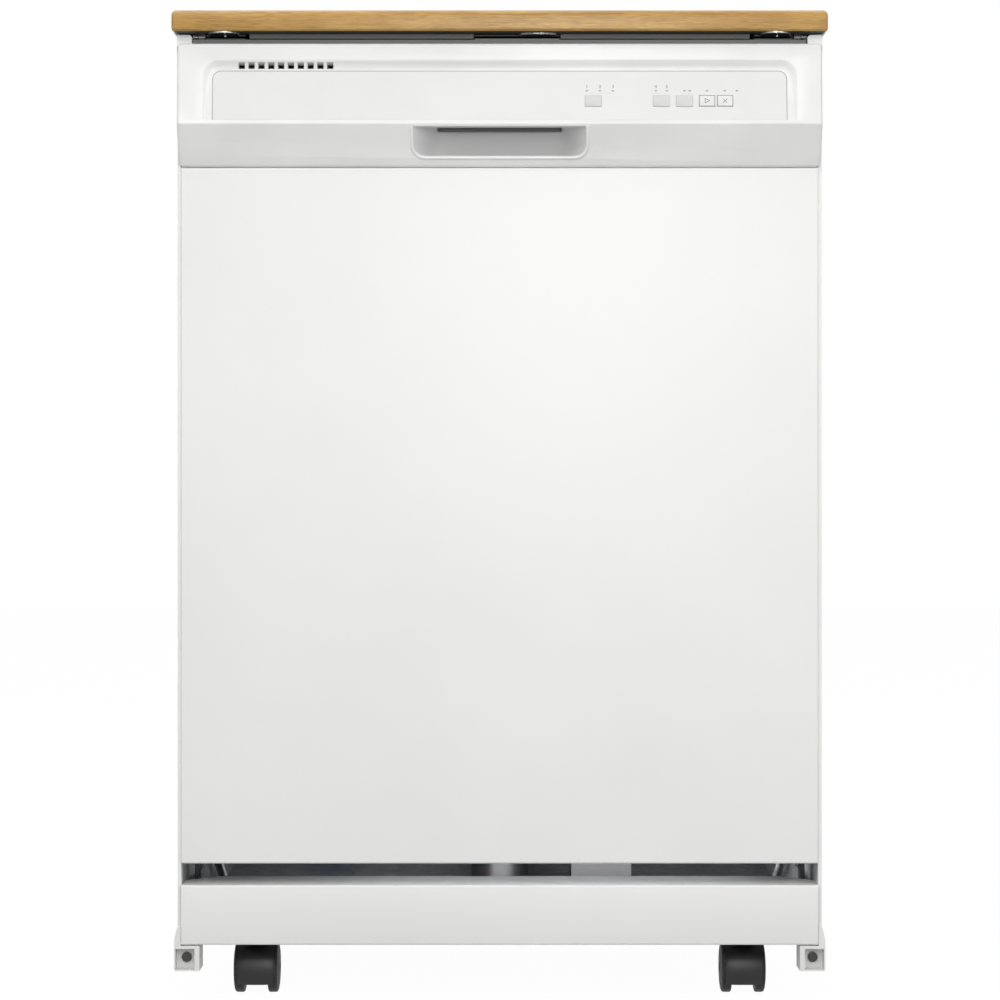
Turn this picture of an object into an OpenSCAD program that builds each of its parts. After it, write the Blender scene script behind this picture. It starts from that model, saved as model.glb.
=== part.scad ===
// Portable dishwasher on wheels, in millimetres.
// Origin: on the floor, under the middle of the worktop. +Z up, +X to the right of someone
// facing the door, -Y towards that person. Everything is drawn with the door shut.

/* [Worktop] */
// Width of the wooden worktop
worktop_w = 616; // [606:1:640]
// Depth of the wooden worktop
worktop_d = 676; // [660:1:720]
// Thickness of the wooden worktop
worktop_t = 19.8; // [16:0.1:30]
// Height of the worktop's upper face above the floor
overall_h = 934.5; // [915:0.5:960]
// How far the worktop reaches past each side panel
side_overhang = 3.2; // [3.1:0.1:8]
// How far the worktop reaches past the console
front_overhang = 4; // [1:0.5:12]
// How far the worktop reaches past the back panel
back_overhang = 8; // [2:0.5:20]
// Height of the gap between cabinet and worktop
worktop_gap = 10.6; // [9.6:0.1:14]

/* [Cabinet] */
// Thickness of the side and back sheets
sheet_t = 1.2; // [0.8:0.1:1.6]
// Width of the folded hem at the front of each side panel
hem_w = 3.1; // [2:0.1:3.1]
// Depth of the folded hem
hem_d = 12; // [8:1:20]
// How far the side panels' hems stand behind the door's face
hem_setback = 3; // [1:0.5:6]
// Width of the flanges inside the side and back panels
flange_w = 14; // [10:1:18]
// Height of the toe panel's lower edge above the floor
ground_gap = 54.2; // [53.6:0.2:60]
// Height of the toe panel
toe_h = 56.2; // [50:0.2:58]
// Depth of the ledge that the toe panel folds into
toe_ledge_d = 62; // [40:1:64]
// Wall of the base pan
base_wall = 2; // [1.2:0.1:2.4]

/* [Corner feet] */
// Width of each corner foot
foot_w = 24; // [18:0.5:26]
// Depth of each corner foot
foot_d = 30; // [30:1:60]
// Height of the feet's lower face above the floor
foot_bottom = 29.6; // [20:0.2:36]
// Height of the feet's upper edge above the floor
foot_top = 70.2; // [66:0.2:80]
// How far the feet flare past the side panels
foot_flare = 3; // [1:0.1:3]
// Depth of the recess that holds the foot's screw
foot_recess_d = 12; // [4:0.5:12]
// Diameter of the foot screws' heads
foot_screw_d = 9.5; // [6:0.5:12]

/* [Door] */
// Thickness of the door from its face to its inner wall
door_t = 52; // [48:0.5:58]
// Thickness of the door's outer sheet
door_sheet_t = 1; // [0.8:0.1:1.5]
// Gap between the door and each side panel
door_side_gap = 2.4; // [2:0.1:4]
// Height of the gap between toe panel and door
door_low_gap = 20.6; // [19:0.2:28]
// Gap between the door's sheet and the console
console_joint = 0.8; // [0.5:0.1:3]
// Thickness of the door's inner wall
liner_t = 2.5; // [1.5:0.1:3]
// Height of the hinge axis above the door's lower edge
hinge_rise = 18; // [14:0.5:22]
// Distance of the hinge axis behind the door's face
hinge_back = 31; // [29:0.5:32]
// Gap between the door's inner wall and the tub's rim
seal_gap = 8; // [6:0.5:12]

/* [Console] */
// Height of the console
console_h = 113.7; // [108:0.1:130]
// Height of the slanted band at the console's foot
band_h = 37.7; // [34:0.1:42]
// How far the console stands in front of the door's sheet
console_lead = 18; // [14:0.5:24]
// How far the console's face leans back at its top
console_lean = 4; // [1:0.5:8]
// Wall of the console
console_wall = 2.5; // [1.8:0.1:3]
// Width of the recess around the control overlay
recess_w = 549; // [520:1:560]
// Height of the recess
recess_h = 57; // [50:0.5:60]
// Depth of the recess at its upper edge
recess_d = 4.5; // [3:0.1:6]
// Width of the control overlay
overlay_w = 540; // [500:1:545]
// Height of the control overlay
overlay_h = 46.5; // [44:0.5:52]
// Thickness of the control overlay
overlay_t = 0.8; // [0.5:0.1:1]
// Corner radius of the control overlay
overlay_r = 8; // [4:0.5:12]
// Width of each control pad
pad_w = 15.4; // [12:0.1:16]
// Height of each control pad
pad_h = 10.7; // [8:0.1:12]
// How far a pad can be pressed
pad_travel = 0.6; // [0.3:0.1:0.8]
// Clearance round each pad
pad_clear = 0.3; // [0.2:0.05:0.5]
// Diameter of each indicator light
light_d = 2.4; // [1.5:0.1:3]
// Number of vent slots
vent_count = 10; // [4:1:12]
// Distance between vent slots
vent_pitch = 9.4; // [8:0.1:12]
// Width of each vent slot
vent_w = 6.2; // [3:0.1:7]
// Width of the handle pocket
pocket_w = 163.4; // [120:0.2:170]
// Height of the handle pocket
pocket_h = 26.3; // [20:0.1:28]
// Wall round the handle pocket
pocket_wall = 2; // [1.5:0.1:3]
// Width of the finger slot in the pocket's roof
slot_w = 118; // [90:1:130]

/* [Wash tub] */
// Wall of the tub
tub_wall = 3; // [2:0.1:4]
// Width of the tub's rim around its opening
tub_rim = 19; // [14:0.5:20]
// Radius of the tub's long corners
tub_corner_r = 15; // [15:1:35]
// Gap between the tub's back and the back panel
tub_back_gap = 40; // [38:0.5:60]
// Width of the ledges that the lower rack rolls on
ledge_w = 16; // [14:0.5:20]
// Thickness of the sound felt
felt_t = 5; // [2:0.5:8]
// Outer diameter of the sump
sump_d = 120; // [110:1:130]
// Diameter of the wash pump's housing
pump_d = 84; // [76:1:84]
// Diameter of the wash pump's motor
motor_d = 70; // [60:1:74]
// Length of the wash pump's motor
motor_l = 92; // [80:1:110]
// Diameter of the drain pump's housing
drain_pump_d = 56; // [48:1:60]
// Diameter of the drain pump's motor
drain_motor_d = 44; // [38:1:46]
// Radius of the heating loop
heater_r = 165; // [140:1:180]
// Diameter of the heating tube
heater_d = 8; // [6:0.5:9]

/* [Racks] */
// Diameter of the rack wires
wire_d = 4; // [3:0.1:4.4]
// Height of the lower rack
lower_rack_h = 130; // [100:1:150]
// Height of the upper rack
upper_rack_h = 115; // [90:1:130]
// Height of the upper rack's floor above the lower rack's floor
rack_rise = 353; // [330:1:380]
// Distance between rack wires
wire_pitch = 36; // [30:1:50]
// Diameter of the lower rack's wheels
rack_wheel_d = 44; // [36:1:46]
// Width of the lower rack's wheels
rack_wheel_w = 11; // [8:0.5:11]
// Width of the silverware basket
basket_w = 210; // [160:1:220]
// Depth of the silverware basket
basket_d = 70; // [60:1:90]
// Height of the silverware basket
basket_h = 113.7; // [90:0.1:130]
// Wall of the silverware basket
basket_wall = 2; // [1.5:0.1:3]
// Length of the lower spray arm
lower_arm_l = 466; // [400:2:470]
// Length of the upper spray arm
upper_arm_l = 446; // [380:2:450]
// Width of the spray arms
arm_w = 34; // [26:1:44]
// Diameter of the overfill float
float_d = 44; // [30:1:46]
// How far the float can rise
float_travel = 8; // [4:0.5:9]

/* [Dispenser] */
// Width of the detergent dispenser
dispenser_w = 150; // [144:1:180]
// Height of the detergent dispenser
dispenser_h = 90; // [84:1:110]
// Width of the detergent cup
cup_w = 70; // [50:1:72]
// Height of the detergent cup
cup_h = 70; // [50:1:72]
// Depth of the detergent cup
cup_d = 26; // [15:1:30]
// Diameter of the rinse-aid cap
cap_d = 30; // [20:1:32]

/* [Casters] */
// Diameter of the caster wheels
wheel_d = 48; // [44:0.5:48.4]
// Width of each caster wheel
wheel_w = 9.8; // [8:0.1:12]
// Gap between the two wheels of a caster
wheel_gap = 22.7; // [20:0.1:26]
// Width of the casters' hoods
hood_w = 35; // [28:0.5:40]
// Wall of the casters' hoods
hood_wall = 2; // [1.5:0.1:2]
// Distance of each caster from the middle of the cabinet
caster_x = 234; // [220:1:234]
// How far the front swivel axes stand behind the door's face
caster_setback = 40; // [38:1:60]
// How far the wheels trail behind the swivel axis
caster_trail = 15; // [10:0.5:16]
// Diameter of the casters' stems
stem_d = 10; // [8:0.5:12]

/* [Back] */
// Width of the storage box in the back
storage_w = 300; // [260:1:400]
// Height of the storage box in the back
storage_h = 220; // [160:1:300]
// Diameter of the hole for the mains cord
cord_bore = 8.4; // [6:0.1:10]
// Diameter of the hole for the hoses
hose_bore = 32; // [26:0.5:36]

/* [Fits] */
// Radial clearance of pins that turn in bores
pin_clear = 0.1; // [0.05:0.01:0.1]
// Gap between pieces that rest on each other and move
rest_gap = 0.3; // [0.2:0.05:0.4]

/* [Hidden] */
eps = 0.01;
ROUND = 64;
SMALL = 24;

// Planes across the cabinet, as distances from the middle
cab_x = worktop_w / 2 - side_overhang;
inner_x = cab_x - sheet_t;
door_x = inner_x - door_side_gap;
console_x = inner_x - 0.1;
base_x = inner_x - 3.6;
bracket_t = 4;
bracket_x = base_x - 4;
arm_t = 3;
arm_x = bracket_x - bracket_t - 3;
rim_x = arm_x - arm_t - 2;
tub_x = rim_x - tub_rim;
liner_x = door_x - door_sheet_t - 2.2;

// Planes along the depth
console_y = -worktop_d / 2 + front_overhang;
door_y = console_y + console_lead;
hem_y = door_y + hem_setback;
liner_y = door_y + door_t;
hinge_y = door_y + hinge_back;
rim_y = liner_y + seal_gap;
back_y = worktop_d / 2 - back_overhang;
tub_back_y = back_y - sheet_t - tub_back_gap;
base_y = door_y + 26;

// Screws of the corner feet
foot_rim = 1.3;
foot_side = 4.7;
foot_screw_x = cab_x + foot_flare - 11;
foot_screw_z = foot_bottom + 11.8;

// Planes along the height
toe_top = ground_gap + toe_h;
pan_z = ground_gap + 7.8;
door_z = toe_top + door_low_gap;
hinge_z = door_z + hinge_rise;
cab_z = overall_h - worktop_t - worktop_gap;
console_z = cab_z - console_h;
edge_z = console_z + band_h;
panel_top = console_z - console_joint;
open_liner_z = hinge_z + door_t - hinge_back;
ledge_z = open_liner_z + 2;
floor_z = ledge_z - 12;
tub_top = cab_z - 29;
rim_low = floor_z - tub_wall - 3;
rim_top = tub_top + 15;
rail_z = cab_z + 3;
rail_t = 2;
rail_lip_gap = 0.8;
corner_cap_w = 14.4;
corner_cap_h = worktop_gap - 1;
corner_cap_r = 3.5;
rail_y = [door_y - 6, rim_y + 16];
strike_z = cab_z - 9.6;
strike_t = 3;

// Washing parts
wash_y = (rim_y + tub_back_y) / 2 - 6;
sump_z = floor_z - tub_wall;
post_d = 20;
filter_d = 92;
arm_z = floor_z + 30;
arm_h = 10;
heater_z = floor_z + 9;
heater_leg_x = 20;
heater_leg_y = wash_y + sqrt(heater_r * heater_r - heater_leg_x * heater_leg_x);
rack_z = ledge_z + 50;
upper_z = rack_z + rack_rise;
rack_x = tub_x - 25;
rack_front = rim_y + 24;
rack_back = tub_back_y - tub_wall - 35;
slide_z = upper_z + 25;
slide_h = 18;
ring_lift = 25;
wheel_z = ledge_z + rest_gap + rack_wheel_d / 2;
wheel_front = rack_front + 82;
wheel_rear = rack_back - 50;
rack_wheel_x = tub_x - 3 - rack_wheel_w;
basket_y = rack_front + 26 + basket_d / 2;
basket_cells = 4;
grip_w = 76;
grip_h = 32;
grip_t = 3;
float_inset = [75, 61];
float_pos = [-tub_x + float_inset[0], rim_y + float_inset[1]];
float_guide_top = floor_z + 35.7;
float_stem_d = 8;
feed_y = tub_back_y - tub_wall - 23;
manifold_z = upper_z - 23;
pipe_d = 18;
hub_d = 14;
hub_low = manifold_z - 32;
dispenser_z = (ledge_z + panel_top) / 2;
cup_x = -dispenser_w / 2 + 10 + cup_w / 2;
cap_inset = 33;
cap_x = dispenser_w / 2 - cap_inset;
lid_t = 3;
lid_pin_d = 3;
cap_z = dispenser_z + 12;
lid_axis_z = dispenser_z - cup_h / 2 - 4;
lid_axis_y = liner_y + 4.5;

// Console face and the plane that its recess is cut to
joint_y = door_y + 2.5;
hinge_foot_back = 35;
face_lean = atan2(console_lean, console_h - band_h);
recess_lean = atan2(console_lean + recess_d, console_h - band_h);
recess_low = edge_z + 3.5;
recess_y = console_y + console_lean * 3.5 / (console_h - band_h);
pad_x = [88, 152, 173.6, 194.8, 211.8];
pad_widths = [1, 1, 1, 0.97, 0.97];
light_x = [82, 94.2, 106.4, 146.8, 157.1, 173.6, 178.7, 194.7, 211.6, 222.9];
pad_low = 13;
light_up = 29;
vent_x = -201;
pocket_top = edge_z - 3;
pocket_low = pocket_top - pocket_h;
pocket_back = door_y + 18;
finger_slot_y = [console_y + 13, pocket_back - 4];
paddle_t = 3;
paddle_pin_d = 3;
paddle_drop = 1.6;
paddle_y = door_y + 6;
paddle_z = pocket_top + 9;

// Brackets under the worktop
bracket_w = 37;
bracket_side_x = [rim_x - 44, rim_x - 44 + bracket_w];
bracket_mid_x = [-24, 57];
bracket_front_y = [rail_y[0] + 4, rail_y[0] + 32];
bracket_rear_y = [back_y - 40, back_y - 12];
bracket_wall = 2;

// Storage box, hoses and pumps
storage_z = [cab_z - 44 - storage_h, cab_z - 44];
storage_y = [tub_back_y + 4, back_y];
pump_z = sump_z - 48;
drain_end_x = sump_d / 2 + 86;
hose_x = sump_d / 2 + 160;
hose_d = 20;
bend_r = 30;
hose_z = sump_z - 34;
hose_y = back_y - sheet_t - 20;
valve_x = -tub_x + 70;
valve_y = back_y - 24;
valve_top = pan_z + 50;
fill_hose_d = 14;

// Screws of the door's inner wall
screw_d = 4;
screw_head_d = 7.5;
screw_x = liner_x - 4.5;
screw_z = [for (i = [0 : 3]) hinge_z + 100 + i * (panel_top - hinge_z - 120) / 3];

// Casters
caster_y = door_y + caster_setback;
wheel_y = caster_y + caster_trail;
rear_y = -wheel_y;
axle_d = 6;
swivel_d = 19;
hood_r = wheel_d / 2 + 1 + hood_wall;

// Springs of the door
lever = [38, 22];
spring_x = arm_x - arm_t / 2;
spring_d = 10;
spring_wire = 1.6;
anchor = [hinge_y + 225, pan_z + 18];
hook_r = 4;
spring_eye_d = 4.4;

module block(x, y, z) {
    translate([x[0], y[0], z[0]]) cube([x[1] - x[0], y[1] - y[0], z[1] - z[0]]);
}

module both_sides() {
    children();
    mirror([1, 0, 0]) children();
}

// A drawing of the Y and Z axes, drawn out along X
module along_x(x) {
    translate([x[0], 0, 0]) rotate([90, 0, 90]) linear_extrude(height = x[1] - x[0]) children();
}

// A drawing of the X and Z axes, drawn out along Y
module along_y(y) {
    translate([0, y[1], 0]) rotate([90, 0, 0]) linear_extrude(height = y[1] - y[0]) children();
}

module rod_x(x, y, z, d, fn = ROUND) {
    translate([x[0], y, z]) rotate([0, 90, 0]) cylinder(h = x[1] - x[0], d = d, $fn = fn);
}

module rod_y(x, y, z, d, fn = ROUND) {
    translate([x, y[1], z]) rotate([90, 0, 0]) cylinder(h = y[1] - y[0], d = d, $fn = fn);
}

module rod_z(x, y, z, d, fn = ROUND) {
    translate([x, y, z[0]]) cylinder(h = z[1] - z[0], d = d, $fn = fn);
}

module rounded(w, h, r) {
    square([w - 2 * r, h], center = true);
    square([w, h - 2 * r], center = true);
    for (x = [-1, 1], y = [-1, 1]) {
        translate([x * (w / 2 - r), y * (h / 2 - r)]) circle(r = r, $fn = ROUND);
    }
}

module rounded_prism(x, y, z, r) {
    along_y(y) translate([(x[0] + x[1]) / 2, (z[0] + z[1]) / 2]) {
        rounded(x[1] - x[0], z[1] - z[0], r);
    }
}

// ---- Worktop ----

module worktop() {
    color("burlywood") translate([0, 0, overall_h - worktop_t]) {
        linear_extrude(height = worktop_t) rounded(worktop_w, worktop_d, 2);
    }
}

// Channel bracket, open to the front or the rear, that carries the worktop
module bracket(x, y, low, open) {
    top = overall_h - worktop_t;
    difference() {
        block(x, y, [low, top]);
        translate([0, open * bracket_wall, 0]) {
            block([x[0] - 1, x[1] + 1], y, [low + bracket_wall, top - bracket_wall]);
        }
    }
}

module worktop_brackets() {
    color("dimgray") {
        both_sides() {
            bracket(bracket_side_x, bracket_front_y, rail_z + rail_t, -1);
            bracket(bracket_side_x, bracket_rear_y, cab_z, 1);
        }
        bracket(bracket_mid_x, bracket_front_y, rail_z + rail_t, -1);
    }
}

module corner_caps() {
    w = corner_cap_w;
    r = corner_cap_r;
    color("white") both_sides() along_y([rail_y[0], hem_y + hem_d]) difference() {
        translate([cab_x - w - 0.2, cab_z]) square([w, corner_cap_h]);
        translate([cab_x - w - 0.2, cab_z + corner_cap_h - r]) difference() {
            translate([-1, 0]) square([r + 1, r + 1]);
            translate([r, 0]) circle(r = r, $fn = ROUND);
        }
    }
}

module front_top_rail() {
    end_x = cab_x - corner_cap_w - 1.2;
    color("silver") {
        block([-end_x, end_x], rail_y, [rail_z, rail_z + rail_t]);
        block([-rim_x, rim_x], [rail_y[1] - 2, rail_y[1]], [rim_top + 3, rail_z + eps]);
        block([-end_x, end_x], [rail_y[0], rail_y[0] + 1.5], [cab_z + rail_lip_gap, rail_z + eps]);
        both_sides() {
            block([end_x - 2, inner_x - 1], [rim_y - 6, rail_y[1]], [cab_z, rail_z + rail_t]);
        }
    }
}

module latch_strike() {
    color("gray") difference() {
        union() {
            block([-12, 12], [door_y + 16, rail_y[1] - 2],
                [strike_z - strike_t / 2, strike_z + strike_t / 2]);
            block([-12, 12], [rail_y[1] - 4, rail_y[1] - 2], [strike_z, rail_z - 1]);
        }
        block([-6, 6], [door_y + 24, door_y + 36], [strike_z - strike_t, strike_z + strike_t]);
    }
}

// ---- Cabinet sheets ----

module side_panel() {
    low = foot_top - 11.4;
    block([inner_x, cab_x], [hem_y, back_y - sheet_t - 0.2], [low, cab_z]);
    block([cab_x - hem_w, cab_x], [hem_y, hem_y + hem_d], [low, cab_z]);
    block([cab_x - flange_w, cab_x], [liner_y + 2, back_y - sheet_t - 0.2], [cab_z - sheet_t, cab_z]);
    block([base_x, cab_x], [door_y + foot_d, back_y - foot_d], [low, low + sheet_t]);
}

module side_panel_left() {
    color("white") mirror([1, 0, 0]) side_panel();
}

module side_panel_right() {
    color("white") side_panel();
}

module back_panel() {
    low = foot_top + 0.4;
    high = cab_z - sheet_t - 0.2;
    color("whitesmoke") difference() {
        union() {
            block([-cab_x, cab_x], [back_y - sheet_t, back_y], [low, high]);
            block([-tub_x, tub_x], [back_y - sheet_t - flange_w * 1.8, back_y], [high - sheet_t, high]);
        }
        block([-storage_w / 2, storage_w / 2], [back_y - 10, back_y + 1], storage_z);
    }
}

// Moulded box let into the back, where the cord and the hoses are stowed
module storage_box() {
    wall = 2;
    hw = storage_w / 2 - rest_gap;
    z = [storage_z[0] + rest_gap, storage_z[1] - rest_gap];
    gland_x = hw - 40;
    gland_z = z[0] + 40;
    color("silver") difference() {
        union() {
            block([-hw, hw], storage_y, z);
            block([-hw - 8, hw + 8], [back_y, back_y + 2], [z[0] - 8, z[1] + 8]);
        }
        difference() {
            block([-hw + wall, hw - wall], [storage_y[0] + wall, back_y + 3],
                [z[0] + wall, z[1] - wall]);
            rod_y(-gland_x, [storage_y[0], storage_y[0] + 16], gland_z, cord_bore + 10);
            rod_y(gland_x, [storage_y[0], storage_y[0] + 16], gland_z, hose_bore + 8);
        }
        rod_y(-gland_x, [storage_y[0] - 1, storage_y[0] + 17], gland_z, cord_bore);
        rod_y(gland_x, [storage_y[0] - 1, storage_y[0] + 17], gland_z, hose_bore);
    }
}

// ---- Base ----

module base_frame() {
    high = toe_top - 6;
    seat = stem_d + 16;
    color("darkgray") difference() {
        union() {
            block([-base_x, base_x], [base_y, back_y - sheet_t], [pan_z, pan_z + base_wall]);
            both_sides() {
                block([base_x - base_wall, base_x], [base_y, back_y - sheet_t], [pan_z, high]);
                block([spring_x - arm_t / 2, spring_x + arm_t / 2],
                    [anchor[0] - 5, anchor[0] + 14], [pan_z, anchor[1] + 6]);
                rod_z(caster_x, caster_y, [ground_gap, pan_z + 14], seat);
                rod_z(caster_x, rear_y - caster_trail, [ground_gap, pan_z + 14], seat);
            }
            block([-base_x, base_x], [base_y, base_y + base_wall], [pan_z, high - 6]);
            block([-base_x, base_x], [back_y - sheet_t - base_wall, back_y - sheet_t], [pan_z, high]);
        }
        both_sides() {
            rod_z(caster_x, caster_y, [ground_gap - 1, pan_z + 15], stem_d + 2 * pin_clear);
            rod_z(caster_x, rear_y - caster_trail, [ground_gap - 1, pan_z + 15], stem_d + 2 * pin_clear);
            rod_x([spring_x - arm_t, spring_x + arm_t], anchor[0], anchor[1], spring_eye_d);
        }
    }
}

// One foot; the cabinet's sheet stands in a slot that starts at the given depth
module corner_foot(slot_y) {
    out = cab_x + foot_flare;
    mid = foot_top - 11.4;
    difference() {
        along_y([door_y - 1, door_y - 1 + foot_d]) polygon([
            [out - foot_w, foot_bottom], [out - 1, foot_bottom], [out, foot_bottom + 1], [out, mid],
            [cab_x + 0.3, foot_top], [door_x + 0.3, foot_top], [door_x + 0.3, ground_gap - 1],
            [out - foot_w, ground_gap - 1]]);
        block([cab_x - hem_w - 0.3, cab_x + 0.3], [slot_y, door_y + foot_d], [mid - 0.2, foot_top + 1]);
        block([out - foot_w + foot_side, out - foot_rim], [door_y - 2, door_y - 1 + foot_recess_d],
            [foot_bottom + foot_rim, foot_bottom + 20.8]);
        rod_y(foot_screw_x, [door_y, door_y + foot_recess_d + 22], foot_screw_z, screw_d + 0.2);
    }
}

module corner_feet() {
    color("white") both_sides() {
        corner_foot(hem_y - 0.3);
        translate([0, back_y + door_y, 0]) mirror([0, 1, 0]) corner_foot(door_y + sheet_t - 0.2);
    }
}

module foot_screw() {
    head = door_y - 1 + foot_recess_d;
    rod_y(foot_screw_x, [head - 3, head], foot_screw_z, foot_screw_d);
    rod_y(foot_screw_x, [head - eps, head + 18], foot_screw_z, screw_d);
}

module foot_screws() {
    color("dimgray") both_sides() {
        foot_screw();
        translate([0, back_y + door_y, 0]) mirror([0, 1, 0]) foot_screw();
    }
}

module toe_panel() {
    cut = 30;
    color("white") {
        block([-door_x, door_x], [door_y, door_y + sheet_t], [ground_gap, toe_top]);
        translate([0, 0, toe_top - sheet_t]) linear_extrude(height = sheet_t) polygon([
            [-door_x, door_y], [door_x, door_y], [door_x, door_y + 34], [door_x - cut, door_y + toe_ledge_d],
            [cut - door_x, door_y + toe_ledge_d], [-door_x, door_y + 34]]);
        block([cut - door_x, door_x - cut], [door_y, base_y], [ground_gap, ground_gap + sheet_t]);
    }
}

// ---- Tub ----

module tub() {
    drain = sump_d + 4;
    color("lightgray") difference() {
        union() {
            rounded_prism([-tub_x - tub_wall, tub_x + tub_wall], [rim_y, tub_back_y],
                [floor_z - tub_wall, tub_top + tub_wall], tub_corner_r);
            rounded_prism([-rim_x, rim_x], [rim_y, rim_y + tub_wall], [rim_low, rim_top], 14);
        }
        difference() {
            rounded_prism([-tub_x, tub_x], [rim_y - 1, tub_back_y - tub_wall], [floor_z, tub_top],
                tub_corner_r - tub_wall);
            both_sides() {
                block([tub_x - ledge_w, tub_x + 1], [rim_y - 2, tub_back_y], [floor_z - 1, ledge_z]);
            }
            block([-tub_x, tub_x], [rim_y - 2, rim_y + 12], [floor_z - 1, ledge_z - 1]);
            rod_z(float_pos[0], float_pos[1], [floor_z - 1, float_guide_top], 14, SMALL * 2);
        }
        rod_z(0, wash_y, [floor_z - 10, floor_z + 1], drain);
        rod_z(float_pos[0], float_pos[1], [floor_z - 10, float_guide_top + 4], float_stem_d + 2 * pin_clear);
        for (x = [-1, 1]) {
            rod_z(x * heater_leg_x, heater_leg_y, [floor_z - 10, floor_z + 1], heater_d + 0.8);
        }
    }
}

module tub_gasket() {
    front = liner_y + rest_gap;
    color("dimgray") difference() {
        rounded_prism([-rim_x + 2, rim_x - 2], [front, rim_y], [rim_low + 8, rim_top - 2], 12);
        rounded_prism([-rim_x + 10, rim_x - 10], [front - 1, rim_y + 1], [rim_low + 14, rim_top - 10], 8);
    }
}

module sound_felt() {
    inner = tub_x + tub_wall + 0.4;
    low = floor_z + 40;
    top = tub_top + tub_wall + 0.4;
    y = [rim_y + 12, tub_back_y - 6];
    color("black") {
        both_sides() block([inner, inner + felt_t], y, [low, top + felt_t]);
        block([-inner - eps, inner + eps], y, [top, top + felt_t]);
    }
}

module sump() {
    cup_low = sump_z - 52;
    wall = 3;
    post_top = arm_z - 2;
    color("darkslategray") difference() {
        union() {
            rod_z(0, wash_y, [sump_z - 4, sump_z], sump_d + 26);
            rod_z(0, wash_y, [cup_low, sump_z], sump_d);
            rod_z(0, wash_y, [pan_z + base_wall, cup_low + eps], 60);
        }
        difference() {
            rod_z(0, wash_y, [cup_low + wall, sump_z + 1], sump_d - 2 * wall);
            rod_z(0, wash_y, [cup_low, sump_z + 2], post_d);
        }
    }
    color("darkslategray") rod_z(0, wash_y, [sump_z - eps, post_top], post_d);
}

module filter() {
    color("gainsboro") difference() {
        union() {
            rod_z(0, wash_y, [sump_z - 40, floor_z], filter_d);
            rod_z(0, wash_y, [floor_z - 3, floor_z + 2], sump_d - 7);
        }
        rod_z(0, wash_y, [sump_z - 41, floor_z - 5], filter_d - 4);
        rod_z(0, wash_y, [floor_z - 6, floor_z + 3], post_d + 1);
    }
}

module wash_pump() {
    inlet_y = wash_y + sump_d / 2;
    housing_y = inlet_y + 12;
    motor_y = housing_y + 26;
    color("slategray") {
        rod_y(0, [inlet_y + 0.2, housing_y], pump_z + 14, 30);
        rod_y(0, [housing_y - eps, motor_y], pump_z, pump_d);
        rod_y(0, [motor_y - eps, motor_y + motor_l], pump_z, motor_d);
        block([-20, 20], [motor_y + 12, motor_y + motor_l - 20], [pan_z + base_wall, pump_z]);
    }
}

module drain_pump() {
    inlet_x = sump_d / 2;
    housing_x = inlet_x + 12;
    motor_x = housing_x + 22;
    color("slategray") {
        rod_x([inlet_x + 0.2, housing_x], wash_y, hose_z, 22);
        rod_x([housing_x - eps, motor_x], wash_y, hose_z, drain_pump_d);
        rod_x([motor_x - eps, drain_end_x], wash_y, hose_z, drain_motor_d);
        block([housing_x + 4, drain_end_x - 6], [wash_y - 12, wash_y + 12], [pan_z + base_wall, hose_z]);
    }
}

module elbow(r, d) {
    rotate_extrude(angle = 90, $fn = ROUND) translate([r, 0]) circle(d = d, $fn = SMALL);
}

// Drain hose from the pump to the storage box, and the fill hose from the valve to the tub
module inner_hoses() {
    color("gray") {
        rod_x([drain_end_x + 0.2, hose_x - bend_r], wash_y, hose_z, hose_d);
        translate([hose_x - bend_r, wash_y + bend_r, hose_z]) rotate([0, 0, -90]) elbow(bend_r, hose_d);
        rod_y(hose_x, [wash_y + bend_r, hose_y - bend_r], hose_z, hose_d);
        translate([hose_x, hose_y - bend_r, hose_z + bend_r]) rotate([90, 0, 90]) rotate([0, 0, -90]) {
            elbow(bend_r, hose_d);
        }
        rod_z(hose_x, hose_y, [hose_z + bend_r, storage_z[0] - 60], hose_d);
        rod_z(valve_x, valve_y, [valve_top + 0.2, floor_z + 90], fill_hose_d);
        rod_y(valve_x, [tub_back_y + 0.2, valve_y], floor_z + 90, fill_hose_d);
    }
}

module inlet_valve() {
    body_top = valve_top - 14;
    color("steelblue") {
        block([valve_x - 22, valve_x + 22], [valve_y - 14, valve_y + 14], [pan_z + base_wall, body_top]);
        rod_z(valve_x, valve_y, [body_top - eps, valve_top], 20);
    }
}

module feed_tube() {
    top = manifold_z + 14;
    back = tub_back_y - tub_wall;
    color("gainsboro") {
        block([-16, 16], [feed_y + 3, back - 0.2], [floor_z + 0.2, top]);
        rod_y(0, [feed_y - 7, feed_y + 3 + eps], manifold_z, 26);
        block([-14, 14], [wash_y + sump_d / 2 + 14, feed_y + 4],
            [floor_z + 0.2, heater_z - heater_d / 2 - 0.4]);
    }
}

module heater_element() {
    gap_angle = 2 * asin(heater_leg_x / heater_r);
    color("dimgray") {
        translate([0, wash_y, heater_z]) rotate([0, 0, 90 + gap_angle / 2]) {
            rotate_extrude(angle = 360 - gap_angle, $fn = ROUND * 2) {
                translate([heater_r, 0]) circle(d = heater_d, $fn = SMALL);
            }
        }
        for (x = [-1, 1]) {
            rod_z(x * heater_leg_x, heater_leg_y, [floor_z - 12, heater_z], heater_d + 0.2);
        }
    }
}

module rack_rails() {
    y = [rim_y + 14, tub_back_y - tub_wall - 16];
    color("silver") both_sides() difference() {
        block([tub_x - 6, tub_x - 0.2], y, [slide_z - slide_h / 2 - 3, slide_z + slide_h / 2 + 3]);
        block([tub_x - 7, tub_x - 2], [y[0] - 1, y[1] + 1],
            [slide_z - slide_h / 2 - rest_gap, slide_z + slide_h / 2 + rest_gap]);
    }
}

// ---- Hinges ----

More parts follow.
